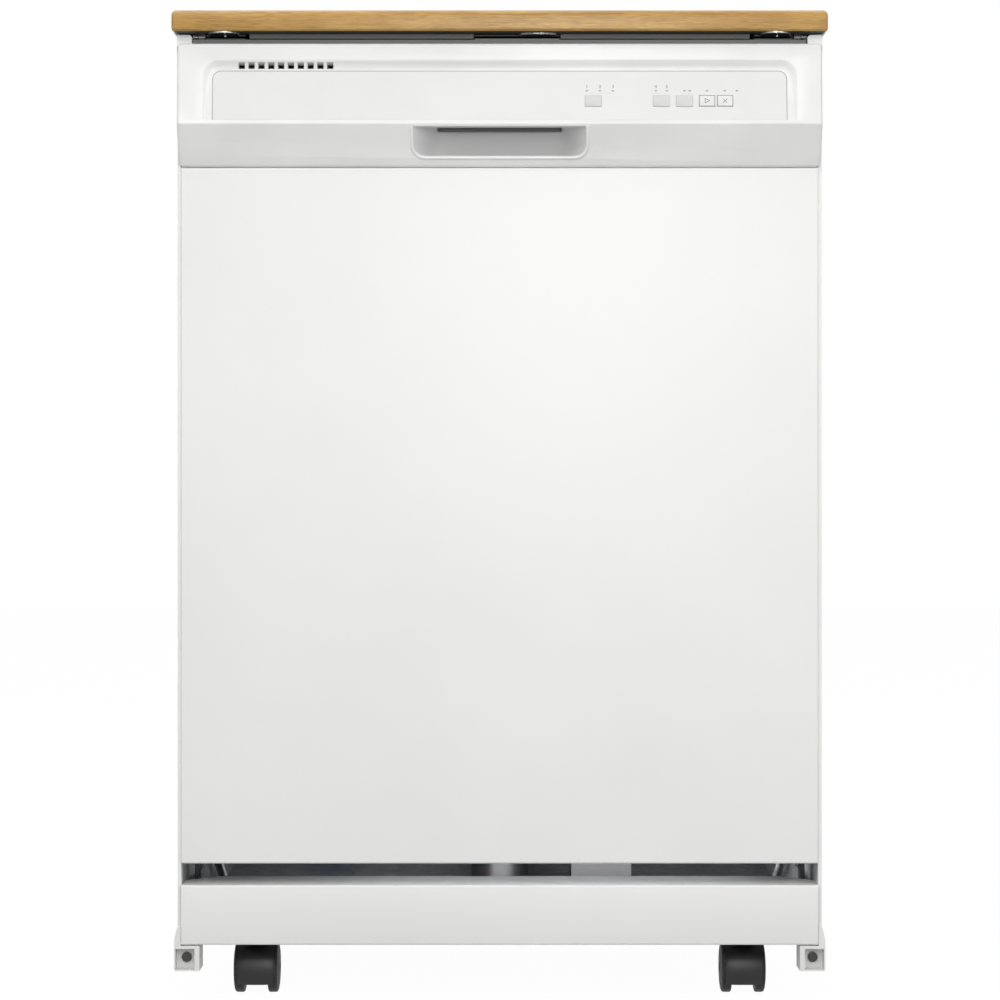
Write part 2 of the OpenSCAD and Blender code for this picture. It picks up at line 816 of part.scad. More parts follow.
module hinge_brackets() {
    foot_y = hinge_y + hinge_foot_back;
    x = [bracket_x - bracket_t, bracket_x];
    color("silver") both_sides() {
        along_x(x) polygon([
            [foot_y, pan_z + base_wall], [foot_y, hinge_z - 10], [hinge_y + 6, hinge_z - 9],
            [hinge_y - 6, hinge_z - 7], [hinge_y - 9, hinge_z], [hinge_y - 6, hinge_z + 7],
            [hinge_y + 6, hinge_z + 9], [hinge_y + 45, hinge_z + 9], [foot_y + 22, hinge_z],
            [foot_y + 22, pan_z + base_wall]]);
        rod_x([arm_x - arm_t - 1, bracket_x - 1], hinge_y, hinge_z, stem_d);
        block([bracket_x - 1, base_x - base_wall], [foot_y + 1, foot_y + 21],
            [pan_z + base_wall, toe_top - 8]);
    }
}

module hinge_arms() {
    lip_y = liner_y - liner_t;
    color("silver") both_sides() difference() {
        union() {
            along_x([arm_x - arm_t, arm_x]) polygon([
                [hinge_y - 9, hinge_z - 5], [hinge_y + 3, hinge_z - 9],
                [hinge_y + lever[0] + 5, hinge_z + lever[1] - 8],
                [hinge_y + lever[0] + 7, hinge_z + lever[1] + 5],
                [hinge_y + lever[0] - 4, hinge_z + lever[1] + 8],
                [lip_y - 1, hinge_z + 20], [lip_y, hinge_z + 50], [lip_y, hinge_z + 180],
                [hinge_y - 4, hinge_z + 180], [hinge_y - 9, hinge_z + 60]]);
            block([arm_x - 18, arm_x], [lip_y - 2, lip_y], [hinge_z + 50, hinge_z + 170]);
        }
        rod_x([arm_x - 20, arm_x + 1], hinge_y, hinge_z, stem_d + 2 * pin_clear);
        rod_x([arm_x - 20, arm_x + 1], hinge_y + lever[0], hinge_z + lever[1], spring_eye_d);
    }
}

// Closed-coil extension springs between the hinge arms and the base
module door_springs() {
    from = [hinge_y + lever[0], hinge_z + lever[1]];
    span = [anchor[0] - from[0], anchor[1] - from[1]];
    reach = norm(span);
    pitch = spring_wire * 1.02;
    turns = floor((reach - 4 * hook_r - 8) / pitch);
    start = (reach - turns * pitch) / 2;
    color("gray") both_sides() translate([spring_x, from[0], from[1]]) {
        rotate([atan2(span[1], span[0]), 0, 0]) {
            for (middle = [hook_r, reach - hook_r]) {
                translate([0, middle, 0]) rotate_extrude($fn = ROUND) {
                    translate([hook_r, 0]) circle(d = spring_wire, $fn = SMALL);
                }
            }
            rod_y(0, [2 * hook_r, reach - 2 * hook_r], 0, spring_wire * 1.5, SMALL);
            translate([0, start, 0]) rotate([-90, 0, 0]) rotate_extrude($fn = ROUND) {
                polygon(concat([[0, turns * pitch], [0, 0]], [for (turn = [0 : turns - 1], half = [0, 1])
                    [spring_d / 2 - spring_wire / 3 * (1 - half), (turn + half / 2) * pitch]],
                    [[spring_d / 2 - spring_wire / 3, turns * pitch]]));
            }
        }
    }
}

// ---- Door ----

module door_panel() {
    t = door_sheet_t;
    back = liner_y - liner_t;
    color("white") difference() {
        union() {
            block([-door_x, door_x], [door_y, door_y + t], [door_z, panel_top]);
            block([-door_x, door_x], [door_y, door_y + 20], [door_z, door_z + t]);
            block([-door_x, door_x], [door_y, door_y + 26], [panel_top - t, panel_top]);
            both_sides() {
                block([door_x - t, door_x], [door_y, back], [door_z, panel_top]);
                block([arm_x + 1.5, door_x], [back - t, back], [hinge_z + 26, panel_top]);
            }
        }
        both_sides() for (z = screw_z) {
            rod_y(screw_x, [back - t - 1, back + 1], z, screw_d + 0.2, SMALL);
        }
    }
}

function console_points(inset) = [
    [joint_y - inset, console_z + inset],
    [door_y - 1.5 + inset / 4, console_z + inset],
    [console_y + inset, edge_z],
    [console_y + console_lean + inset, cab_z - 4],
    [console_y + console_lean + inset + 1.2, cab_z - 1.2 - inset / 2],
    [console_y + console_lean + inset + 4, cab_z - inset],
    [joint_y - inset, cab_z - inset]];

module recess_tool() {
    top_z = recess_low + recess_h;
    floor_top = recess_low + overlay_h + 1;
    along_x([-recess_w / 2, recess_w / 2]) polygon([
        [console_y - 9, recess_low], [recess_y, recess_low],
        [recess_y + (floor_top - recess_low) * tan(recess_lean), floor_top],
        [console_y + (top_z - edge_z) * tan(face_lean) - 0.2, top_z], [console_y - 9, top_z]]);
}

// Local frame of the recess: X across, Y up the plane, Z out of it
module on_recess() {
    translate([0, recess_y, recess_low]) rotate([90 - recess_lean, 0, 0]) children();
}

module pad_windows(low, high) {
    for (i = [0 : 4]) {
        w = pad_w * pad_widths[i] + 2 * pad_clear;
        translate([pad_x[i] - w / 2, pad_low - pad_clear, low]) cube([w, pad_h + 2 * pad_clear, high - low]);
    }
}

module light_holes(low, high, d) {
    for (x = light_x) {
        translate([x, light_up, low]) cylinder(h = high - low, d = d, $fn = SMALL);
    }
}

module pocket_cavity(grow) {
    rounded_prism([-pocket_w / 2 - grow, pocket_w / 2 + grow], [console_y - 20, pocket_back + grow],
        [pocket_low - grow, pocket_top + grow], 8 + grow);
}

module console() {
    w = console_wall;
    hw = door_x;
    slot_top = pocket_top + 14;
    color("white") difference() {
        union() {
            difference() {
                union() {
                    along_x([-console_x, console_x]) polygon(console_points(0));
                    block([-hw, hw], [joint_y - 1, liner_y - liner_t], [console_z, cab_z]);
                }
                along_x([-console_x + w, console_x - w]) polygon(console_points(w));
                block([-hw + w, hw - w], [door_y - 1, liner_y - liner_t + 1],
                    [console_z + w, cab_z - w]);
                block([-hw + w, hw - w], [door_y + 14, liner_y], [console_z - 1, console_z + w + 1]);
            }
            intersection() {
                along_x([-hw, hw]) polygon(concat(console_points(0),
                    [[pocket_back + 8, cab_z], [pocket_back + 8, console_z]]));
                union() {
                    pocket_cavity(pocket_wall);
                    block([-slot_w / 2 - 6, slot_w / 2 + 6], [console_y - 2, pocket_back - 2],
                        [pocket_top, slot_top + pocket_wall]);
                }
            }
            intersection() {
                along_x([-recess_w / 2 - w, recess_w / 2 + w]) polygon(console_points(0));
                on_recess() translate([-recess_w / 2 - w, -2, -w]) {
                    cube([recess_w + 2 * w, recess_h + 2 + w, w + 12]);
                }
            }
        }
        recess_tool();
        pocket_cavity(0);
        block([-slot_w / 2, slot_w / 2], finger_slot_y, [pocket_top - 9, slot_top]);
        rod_x([-slot_w / 2 - 4, slot_w / 2 + 4], paddle_y, paddle_z, paddle_pin_d + 2 * pin_clear,
            SMALL * 2);
        on_recess() {
            pad_windows(-w - 2, 5);
            light_holes(-w - 2, 5, light_d + 0.2);
        }
        for (i = [0 : vent_count - 1]) {
            x = vent_x + (i - (vent_count - 1) / 2) * vent_pitch;
            block([x - vent_w / 2, x + vent_w / 2], [console_y - 2, console_y + 16],
                [recess_low + overlay_h + 2, recess_low + recess_h - 2.6]);
        }
    }
}

module control_overlay() {
    color("gainsboro") difference() {
        on_recess() linear_extrude(height = overlay_t) {
            translate([0, (overlay_h - overlay_r) / 2]) {
                square([overlay_w, overlay_h - overlay_r], center = true);
            }
            translate([0, overlay_h - overlay_r - eps]) {
                square([overlay_w - 2 * overlay_r, 2 * overlay_r], center = true);
            }
            for (x = [-1, 1]) {
                translate([x * (overlay_w / 2 - overlay_r), overlay_h - overlay_r]) {
                    circle(r = overlay_r, $fn = ROUND);
                }
            }
        }
        on_recess() {
            pad_windows(-1, 2);
            light_holes(-1, 2, light_d + 0.2);
        }
    }
}

module indicator_lights() {
    color("lightgreen") on_recess() light_holes(-console_wall - 1, overlay_t + 0.2, light_d);
}

module control_board() {
    x = [pad_x[0] - 20, pad_x[4] + 24];
    back = -console_wall - 1 - overlay_t - 2 * pad_travel;
    color("darkgreen") on_recess() {
        translate([x[0], 10, back - 1.6]) cube([x[1] - x[0], 30, 1.6]);
        for (i = [0 : 4]) {
            translate([pad_x[i] - 3, pad_low + pad_h / 2 - 3, back - eps]) cube([6, 6, 0.4]);
        }
        for (i = [0, 1]) {
            translate([x[i] - 4 + 8 * (1 - i) - 4 * (1 - i), 34, back - eps]) {
                cube([4, 4, -console_wall - back - 0.1]);
            }
        }
    }
}

module pad(i) {
    w = pad_w * pad_widths[i];
    under = -console_wall - 0.2;
    color("gray") on_recess() {
        translate([pad_x[i] - w / 2, pad_low, under]) cube([w, pad_h, overlay_t + 0.5 - under]);
        translate([pad_x[i] - w / 2 - 0.9, pad_low - 0.9, under - 0.8]) {
            cube([w + 1.8, pad_h + 1.8, 0.8 + eps]);
        }
    }
}

module pad_1() {
    pad(0);
}

module pad_2() {
    pad(1);
}

module pad_3() {
    pad(2);
}

module pad_4() {
    pad(3);
}

module pad_5() {
    pad(4);
}

module latch_assembly() {
    front = console_y + console_lean + 12;
    back = liner_y - liner_t;
    z = [cab_z - 34, cab_z - console_wall - 0.2];
    color("dimgray") difference() {
        block([-30, 30], [front, back], z);
        block([-14.5, 14.5], [door_y + 13, back + 1], [strike_z - 4, strike_z + 4]);
        block([-26, 26], [front + 3, back - 8], [z[0] + 2, strike_z - 6]);
    }
    color("dimgray") rod_z(0, door_y + 30, [strike_z - 9, strike_z - 2], 7);
}

module latch_paddle() {
    hw = slot_w / 2 - 1;
    color("black") {
        block([-hw, hw], [paddle_y - paddle_t / 2, paddle_y + paddle_t / 2],
            [pocket_top - paddle_drop, paddle_z]);
        rod_x([-hw - 4, hw + 4], paddle_y, paddle_z, paddle_pin_d, SMALL * 2);
        rod_x([-hw, hw], paddle_y, paddle_z, 6, SMALL * 2);
    }
}

module door_liner() {
    back = liner_y - liner_t;
    low = hinge_z - 4;
    high = cab_z - 0.5;
    notch_z = hinge_z + 36;
    color("silver") difference() {
        union() {
            block([-liner_x, liner_x], [back, liner_y], [low, high]);
            both_sides() {
                block([tub_x - ledge_w + 2, tub_x - 2], [liner_y - eps, liner_y + 1.5],
                    [rim_low + 15.5, rim_low + 260]);
            }
        }
        both_sides() {
            block([arm_x - arm_t - 1.5, liner_x + 1], [back - 1, liner_y + 3], [low - 1, notch_z]);
            for (z = screw_z) {
                rod_y(screw_x, [back - 1, liner_y + 1], z, screw_d + 0.2, SMALL);
            }
        }
        block([-dispenser_w / 2 - rest_gap, dispenser_w / 2 + rest_gap], [back - 1, liner_y + 1],
            [dispenser_z - dispenser_h / 2 - rest_gap, dispenser_z + dispenser_h / 2 + rest_gap]);
        block([-15, 15], [back - 1, liner_y + 1], [strike_z - 4.5, strike_z + 4.5]);
    }
}

module door_screws() {
    color("silver") both_sides() for (z = screw_z) {
        rod_y(screw_x, [liner_y, liner_y + 1.8], z, screw_head_d, SMALL);
        rod_y(screw_x, [liner_y - 8, liner_y + eps], z, screw_d - 0.1, SMALL);
    }
}

// ---- Detergent dispenser ----

module dispenser() {
    hw = dispenser_w / 2;
    z = [dispenser_z - dispenser_h / 2, dispenser_z + dispenser_h / 2];
    face = liner_y + 2;
    color("dimgray") difference() {
        union() {
            block([-hw, hw], [liner_y - 38, face], z);
            block([-hw - 5, hw + 5], [liner_y, face], [z[0] - 5, z[1] + 5]);
            for (x = [cup_x - cup_w / 2 - 7, cup_x + cup_w / 2 + 1.3]) {
                block([x, x + 5.7], [face - eps, lid_axis_y + 3], [lid_axis_z - 3.5, lid_axis_z + 3.5]);
            }
        }
        block([cup_x - cup_w / 2, cup_x + cup_w / 2], [face - cup_d, face + 1],
            [dispenser_z - cup_h / 2, dispenser_z + cup_h / 2]);
        rod_y(cap_x, [face - 20, face + 1], cap_z, cap_d - 6);
        rod_x([cup_x - cup_w / 2 - 8, cup_x + cup_w / 2 + 8], lid_axis_y, lid_axis_z,
            lid_pin_d + 2 * pin_clear, SMALL * 2);
    }
}

module dispenser_lid() {
    hw = cup_w / 2 + 1;
    low = liner_y + 2.3;
    color("silver") translate([cup_x, 0, 0]) {
        block([-hw, hw], [low, low + lid_t], [lid_axis_z, dispenser_z + cup_h / 2 + 4]);
        rod_x([-hw, hw], lid_axis_y, lid_axis_z, 4.4, SMALL * 2);
        rod_x([-hw - 5.5, hw + 5.5], lid_axis_y, lid_axis_z, lid_pin_d, SMALL * 2);
    }
}

module rinse_aid_cap() {
    face = liner_y + 2;
    color("steelblue") {
        rod_y(cap_x, [face + rest_gap, face + 5], cap_z, cap_d);
        rod_y(cap_x, [face - 12, face + 1], cap_z, cap_d - 6 - 2 * pin_clear);
        block([cap_x - 2, cap_x + 2], [face + 5 - eps, face + 8], [cap_z - 11, cap_z + 11]);
    }
}

// ---- Racks ----

module u_wire(w, h, r, d) {
    translate([-w / 2 + r, 0, 0]) rotate([0, 90, 0]) cylinder(h = w - 2 * r, d = d, $fn = SMALL);
    for (s = [-1, 1]) {
        translate([s * w / 2, 0, r]) cylinder(h = h - r, d = d, $fn = SMALL);
    }
    translate([w / 2 - r, 0, r]) rotate([90, 0, 0]) rotate([0, 0, -90]) elbow(r, d);
    translate([-w / 2 + r, 0, r]) rotate([90, 0, 0]) rotate([0, 0, 180]) elbow(r, d);
}

module ring_wire(x, y, r, d) {
    for (s = [0, 1]) {
        rod_y(x[s], [y[0] + r, y[1] - r], 0, d, SMALL);
        rod_x([x[0] + r, x[1] - r], y[s], 0, d, SMALL);
    }
    for (sx = [0, 1], sy = [0, 1]) {
        translate([x[sx] + (1 - 2 * sx) * r, y[sy] + (1 - 2 * sy) * r, 0]) {
            rotate([0, 0, sx == sy ? 180 * (1 - sx) : 270 - 180 * sy]) elbow(r, d);
        }
    }
}

// Basket of bent wires that lie on each other: hoops across, hoops along and two rings
module wire_rack(z, h, d) {
    lap = d + 0.1;
    across = floor((rack_back - rack_front - 28) / wire_pitch);
    along = floor((2 * rack_x - 28) / (1.6 * wire_pitch));
    for (i = [0 : across]) {
        y = rack_front + 14 + i * (rack_back - rack_front - 28) / across;
        translate([0, y, z]) u_wire(2 * rack_x, h, 12, d);
    }
    for (i = [0 : along]) {
        x = -rack_x + 14 + i * (2 * rack_x - 28) / along;
        translate([x, (rack_front + rack_back) / 2, z - lap]) rotate([0, 0, 90]) {
            u_wire(rack_back - rack_front, h + lap, 12, d);
        }
    }
    for (lift = [ring_lift, h - d / 2]) {
        translate([0, 0, z + lift]) {
            ring_wire([-rack_x - lap, rack_x + lap], [rack_front - lap, rack_back + lap], 10, d);
        }
    }
}

module lower_rack() {
    out = rack_x + 1.5 * wire_d + 0.1 + rest_gap;
    color("lightgray") {
        wire_rack(rack_z, lower_rack_h, wire_d);
        both_sides() for (y = [wheel_front, wheel_rear]) {
            block([out, out + 2.5], [y - 10, y + 10], [wheel_z - 8, rack_z + ring_lift + 6]);
            rod_x([out + 1, rack_wheel_x + rack_wheel_w + 0.5], y, wheel_z, 8);
        }
    }
}

module rack_wheel_pair(y) {
    color("gray") both_sides() difference() {
        rod_x([rack_wheel_x, rack_wheel_x + rack_wheel_w], y, wheel_z, rack_wheel_d);
        rod_x([rack_wheel_x - 1, rack_wheel_x + rack_wheel_w + 1], y, wheel_z, 8 + 2 * pin_clear);
    }
}

module rack_wheels_front() {
    rack_wheel_pair(wheel_front);
}

module rack_wheels_rear() {
    rack_wheel_pair(wheel_rear);
}

module silverware_basket() {
    z = [rack_z + wire_d / 2 + rest_gap, rack_z + wire_d / 2 + rest_gap + basket_h];
    cell_w = (basket_w - basket_wall * (basket_cells + 1)) / basket_cells;
    front = basket_y - basket_d / 2;
    grip_y = [basket_y - grip_t / 2, basket_y + grip_t / 2];
    color("gray") difference() {
        union() {
            block([-basket_w / 2, basket_w / 2], [front, front + basket_d], z);
            block([-grip_w / 2, grip_w / 2], grip_y, [z[1] - 10, z[1] + grip_h]);
        }
        for (i = [0 : basket_cells - 1]) {
            start = -basket_w / 2 + basket_wall + i * (cell_w + basket_wall);
            for (y = [[front + basket_wall, grip_y[0]], [grip_y[1], front + basket_d - basket_wall]]) {
                block([start, start + cell_w], y, [z[0] + basket_wall, z[1] + grip_h + 8]);
            }
        }
        block([-grip_w / 2 + 10, grip_w / 2 - 10], [front, front + basket_d], [z[1] + 4, z[1] + grip_h - 8]);
    }
}

// Upper rack: basket, its slides and the spray feed that hangs under it
module upper_rack() {
    out = rack_x + 1.5 * wire_d + 0.1;
    hub_y = wash_y;
    color("lightgray") {
        wire_rack(upper_z, upper_rack_h, wire_d);
        both_sides() {
            block([tub_x - 10, tub_x - 2.4], [rim_y + 18, rack_back + 6],
                [slide_z - slide_h / 2, slide_z + slide_h / 2]);
            for (y = [rack_front + 40, rack_back - 60]) {
                block([out + 0.1, tub_x - 10 + eps], [y, y + 20],
                    [slide_z - slide_h / 2, slide_z + slide_h / 2]);
            }
        }
        rod_y(0, [hub_y, feed_y - 7.4], manifold_z, pipe_d);
        rod_z(0, hub_y, [manifold_z - pipe_d / 2, manifold_z + pipe_d / 2], 40);
        rod_z(0, hub_y, [hub_low, manifold_z - 8], hub_d);
        rod_z(0, hub_y, [hub_low - 3, hub_low + eps], hub_d + 8);
        for (y = [hub_y, hub_y + 120]) {
            block([-6, 6], [y - 6, y + 6], [manifold_z, upper_z - 1.5 * wire_d - 0.3]);
        }
    }
}

module spray_arm(l, z, hub_z, bore_d, bore_z) {
    difference() {
        union() {
            translate([0, wash_y, z]) linear_extrude(height = arm_h) {
                square([l - arm_w, arm_w], center = true);
                for (s = [-1, 1]) {
                    translate([s * (l - arm_w) / 2, 0]) circle(d = arm_w, $fn = ROUND);
                }
            }
            rod_z(0, wash_y, hub_z, bore_d + 14);
        }
        rod_z(0, wash_y, bore_z, bore_d);
        for (s = [-1, 1], i = [1 : 5]) {
            rod_z(s * (l / 2 - arm_w / 2 - 8) * i / 5, wash_y + s * 6, [z + arm_h - 4, z + arm_h + 1], 3,
                SMALL);
        }
    }
}

module lower_spray_arm() {
    color("gray") spray_arm(lower_arm_l, arm_z, [arm_z - 8, arm_z + arm_h + 4], post_d + 2 * pin_clear,
        [arm_z - 9, arm_z - 2 + rest_gap]);
}

module upper_spray_arm() {
    low = hub_low + rest_gap;
    color("gray") spray_arm(upper_arm_l, low + 5, [low, manifold_z - pipe_d / 2 - rest_gap],
        hub_d + 2 * pin_clear, [low - 1, manifold_z]);
}

module overfill_float() {
    rest = float_guide_top + rest_gap;
    stop_z = sump_z - float_travel - rest_gap;
    at = float_pos;
    color("white") difference() {
        rod_z(at[0], at[1], [floor_z + 8, rest + 3], float_d);
        difference() {
            rod_z(at[0], at[1], [floor_z + 7, rest], float_d - 6);
            rod_z(at[0], at[1], [floor_z + 6, rest + 1], float_stem_d);
        }
    }
    color("white") rod_z(at[0], at[1], [stop_z - 12, floor_z + 9], float_stem_d);
    color("white") rod_z(at[0], at[1], [stop_z - 2, stop_z], float_stem_d + 5);
}

// ---- Casters, drawn about the middle of their wheels ----

module caster_hood() {
    inner = hood_r - hood_wall;
    web = wheel_gap / 2 - 1.5;
    difference() {
        union() {
            rotate([0, 90, 0]) rotate([0, 0, 125]) rotate_extrude(angle = 170, $fn = ROUND * 2) {
                translate([inner, -hood_w / 2]) square([hood_wall, hood_w]);
            }
            difference() {
                rod_x([-web, web], 0, 0, 2 * inner + 1);
                block([-web - 1, web + 1], [-hood_r, hood_r], [-hood_r, -11]);
            }
            translate([0, -caster_trail, 0]) {
                rod_z(0, 0, [8, ground_gap - wheel_d / 2 - rest_gap], swivel_d);
                rod_z(0, 0, [10, pan_z + 12 - wheel_d / 2], stem_d);
            }
        }
    }
    rod_x([-wheel_gap / 2 - wheel_w - 0.3, wheel_gap / 2 + wheel_w + 0.3], 0, 0, axle_d);
}

module caster_wheel_pair() {
    r = wheel_d / 2;
    bore = axle_d / 2 + pin_clear;
    both_sides() translate([wheel_gap / 2, 0, 0]) rotate([0, 90, 0]) rotate_extrude($fn = ROUND * 2) {
        polygon([[bore, 0], [r - 2.6, 0], [r - 0.7, 1.6], [r, wheel_w * 0.35], [r, wheel_w * 0.65],
            [r - 0.7, wheel_w - 1.6], [r - 2.6, wheel_w], [bore, wheel_w]]);
    }
}

module at_caster(side, y) {
    translate([side * caster_x, y, wheel_d / 2]) children();
}

module caster_fork_left() {
    color("dimgray") at_caster(-1, wheel_y) caster_hood();
}

module caster_fork_right() {
    color("dimgray") at_caster(1, wheel_y) caster_hood();
}

module caster_wheels_left() {
    color("black") at_caster(-1, wheel_y) caster_wheel_pair();
}

module caster_wheels_right() {
    color("black") at_caster(1, wheel_y) caster_wheel_pair();
}

module rear_caster_forks() {
    color("dimgray") for (side = [-1, 1]) {
        at_caster(side, rear_y) caster_hood();
    }
}

module rear_wheels_left() {
    color("black") at_caster(-1, rear_y) caster_wheel_pair();
}

module rear_wheels_right() {
    color("black") at_caster(1, rear_y) caster_wheel_pair();
}

worktop();
worktop_brackets();
corner_caps();
front_top_rail();
latch_strike();
side_panel_left();
side_panel_right();
back_panel();
storage_box();
base_frame();
corner_feet();
foot_screws();
toe_panel();
tub();
tub_gasket();
sound_felt();
sump();
filter();
wash_pump();
drain_pump();
inlet_valve();
inner_hoses();
feed_tube();
heater_element();
rack_rails();
hinge_brackets();
door_springs();
rear_caster_forks();
rear_wheels_left();
rear_wheels_right();
caster_fork_left();
caster_fork_right();
caster_wheels_left();
caster_wheels_right();
door_panel();
console();
control_overlay();
indicator_lights();
control_board();
latch_assembly();
latch_paddle();
door_liner();
hinge_arms();
door_screws();
dispenser();
dispenser_lid();
rinse_aid_cap();
pad_1();
pad_2();
pad_3();
pad_4();
pad_5();
upper_rack();
upper_spray_arm();
lower_rack();
rack_wheels_front();
rack_wheels_rear();
silverware_basket();
lower_spray_arm();
overfill_float();
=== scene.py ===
"""Looks of the portable dishwasher: painted sheet, moulded plastic, butcher block, wire and rubber.

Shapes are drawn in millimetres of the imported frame: the origin is on the floor under the middle of
the worktop, +Z is up and -Y points out of the door. A Sketch turns them into Blender's metres.
"""
import logging
import math
from collections.abc import Callable, Iterable, Sequence
from dataclasses import dataclass
from enum import Enum
from typing import Any

import bmesh
import bpy
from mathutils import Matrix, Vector


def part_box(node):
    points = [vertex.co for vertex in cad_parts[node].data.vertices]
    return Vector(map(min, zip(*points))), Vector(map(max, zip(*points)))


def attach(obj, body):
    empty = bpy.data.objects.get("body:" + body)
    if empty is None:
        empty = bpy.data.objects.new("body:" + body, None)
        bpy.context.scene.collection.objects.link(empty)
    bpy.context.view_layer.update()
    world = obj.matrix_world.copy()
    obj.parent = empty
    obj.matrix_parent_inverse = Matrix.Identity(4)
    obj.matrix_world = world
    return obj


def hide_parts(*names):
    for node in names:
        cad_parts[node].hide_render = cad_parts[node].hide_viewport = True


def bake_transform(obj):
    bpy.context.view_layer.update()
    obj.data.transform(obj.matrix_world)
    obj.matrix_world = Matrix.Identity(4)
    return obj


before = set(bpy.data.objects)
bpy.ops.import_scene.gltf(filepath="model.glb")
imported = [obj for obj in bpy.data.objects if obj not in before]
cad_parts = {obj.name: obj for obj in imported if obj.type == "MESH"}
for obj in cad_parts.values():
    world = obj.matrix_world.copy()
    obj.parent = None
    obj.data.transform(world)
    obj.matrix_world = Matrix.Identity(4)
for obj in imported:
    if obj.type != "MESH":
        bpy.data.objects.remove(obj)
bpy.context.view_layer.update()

Colour = tuple[float, float, float, float]
Point = tuple[float, float, float]
Pair = tuple[float, float]
Socket = bpy.types.NodeSocket
Tree = bpy.types.NodeTree
Item = bpy.types.Object

MM = 0.001
QUARTER = math.pi / 2
# A depth in front of the whole door, where the shapes that cut its face begin.
IN_FRONT = -345.0
# Points of a CAD mesh that are closer than this, in metres, are one and the same.
SAME_POINT = 0.00002
log = logging.getLogger("dishwasher")


# ---- Frame ----

def extent(node: str) -> tuple[Point, Point]:
    """Gives the lowest and highest corners of a CAD node.

    Args:
        node: The node's name.

    Returns:
        Both corners, in millimetres.
    """
    low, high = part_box(node)
    return tuple(c / MM for c in low), tuple(c / MM for c in high)


# ---- Nodes and finishes ----

def linear(hex_colour: str) -> Colour:
    """Turns a colour that is written as sRGB hex into the linear one that a shader takes.

    Args:
        hex_colour: A colour such as "#E8E8E6".

    Returns:
        Red, green, blue and an alpha of 1.
    """
    channels = [int(hex_colour[i:i + 2], 16) / 255 for i in (1, 3, 5)]
    red, green, blue = (c / 12.92 if c <= 0.04045 else ((c + 0.055) / 1.055) ** 2.4 for c in channels)
    return red, green, blue, 1.0


def add(tree: Tree, kind: str, settings: dict[Any, Any] | None = None,
        links: dict[Any, Socket] | None = None) -> bpy.types.Node:
    """Adds one node with its settings and links.

    Args:
        tree: The node tree that gets it.
        kind: Blender's type name without "ShaderNode".
        settings: Attributes and input values by name; "stops" holds a colour ramp's stops.
        links: The output socket that feeds each named input.

    Returns:
        The new node.
    """
    node = tree.nodes.new("ShaderNode" + kind)
    for key, value in (settings or {}).items():
        if key == "stops":
            ramp = node.color_ramp
            ramp.elements[0].position, ramp.elements[1].position = value[0][0], value[-1][0]
            for place, _ in value[1:-1]:
                ramp.elements.new(place)
            for element, (_, colour) in zip(ramp.elements, value):
                element.color = linear(colour)
        elif isinstance(key, str) and hasattr(node, key):
            setattr(node, key, value)
        else:
            node.inputs[key].default_value = value
    for key, socket in (links or {}).items():
        tree.links.new(socket, node.inputs[key])
    return node


def shade(hex_colour: str, factor: float) -> str:
    """Gives the same hue lighter or darker, as sRGB hex."""
    channels = (round(int(hex_colour[i:i + 2], 16) * factor) for i in (1, 3, 5))
    return "#" + "".join(f"{min(255, channel):02X}" for channel in channels)


def real_space(tree: Tree, size_mm: float, stretch: Point = (1.0, 1.0, 1.0)) -> Socket:
    """Gives coordinates in which one unit is a pattern's real size.

    Args:
        tree: The node tree.
        size_mm: The size of one grain, thread or ripple, in millimetres.
        stretch: How many times longer the pattern is along X, Y and Z.

    Returns:
        The coordinates' socket.
    """
    place = add(tree, "TexCoord")
    scale = tuple(1 / (size_mm * MM * s) for s in stretch)
    return add(tree, "Mapping", {"Scale": scale}, {"Vector": place.outputs["Object"]}).outputs["Vector"]


@dataclass(frozen=True)
class Finish:
    """A surface finish; its sizes are real ones in millimetres."""

    name: str
    colour: str
    roughness: float = 0.4
    ior: float = 1.5

    def build(self, tree: Tree) -> Socket:
        """Builds the finish's own nodes and gives the shader's output."""
        raise NotImplementedError

    def material(self) -> bpy.types.Material:
        """Gives Blender's material for this finish, made once.

        Returns:
            The material.
        """
        found = bpy.data.materials.get(self.name)
        if found is None:
            found = bpy.data.materials.new(self.name)
            found.use_nodes = True
            found.node_tree.nodes.clear()
            add(found.node_tree, "OutputMaterial", links={"Surface": self.build(found.node_tree)})
            found.diffuse_color = linear(self.colour)
        return found

    def spread(self, tree: Tree, source: Socket, low: float, high: float) -> Socket:
        """Maps a 0 to 1 pattern onto a range of values."""
        return add(tree, "MapRange", {"To Min": low, "To Max": high}, {"Value": source}).outputs["Result"]

    def body(self, tree: Tree, colour: Socket, gloss: Socket, relief: Socket, depth_mm: float,
             **constants: Any) -> Socket:
        """Joins colour, gloss and relief in one surface.

        Args:
            tree: The node tree.
            colour: The base colour.
            gloss: The roughness.
            relief: The height pattern, 0 to 1.
            depth_mm: The real depth of the relief.
            constants: Values that are the same all over, with _ for each space in their names.

        Returns:
            The shader's output.
        """
        bump = add(tree, "Bump", {"Strength": 1.0, "Distance": depth_mm * MM}, {"Height": relief})
        settings = {key.replace("_", " "): value for key, value in constants.items()}
        links = {"Base Color": colour, "Roughness": gloss, "Normal": bump.outputs["Normal"]}
        return add(tree, "BsdfPrincipled", settings, links).outputs["BSDF"]


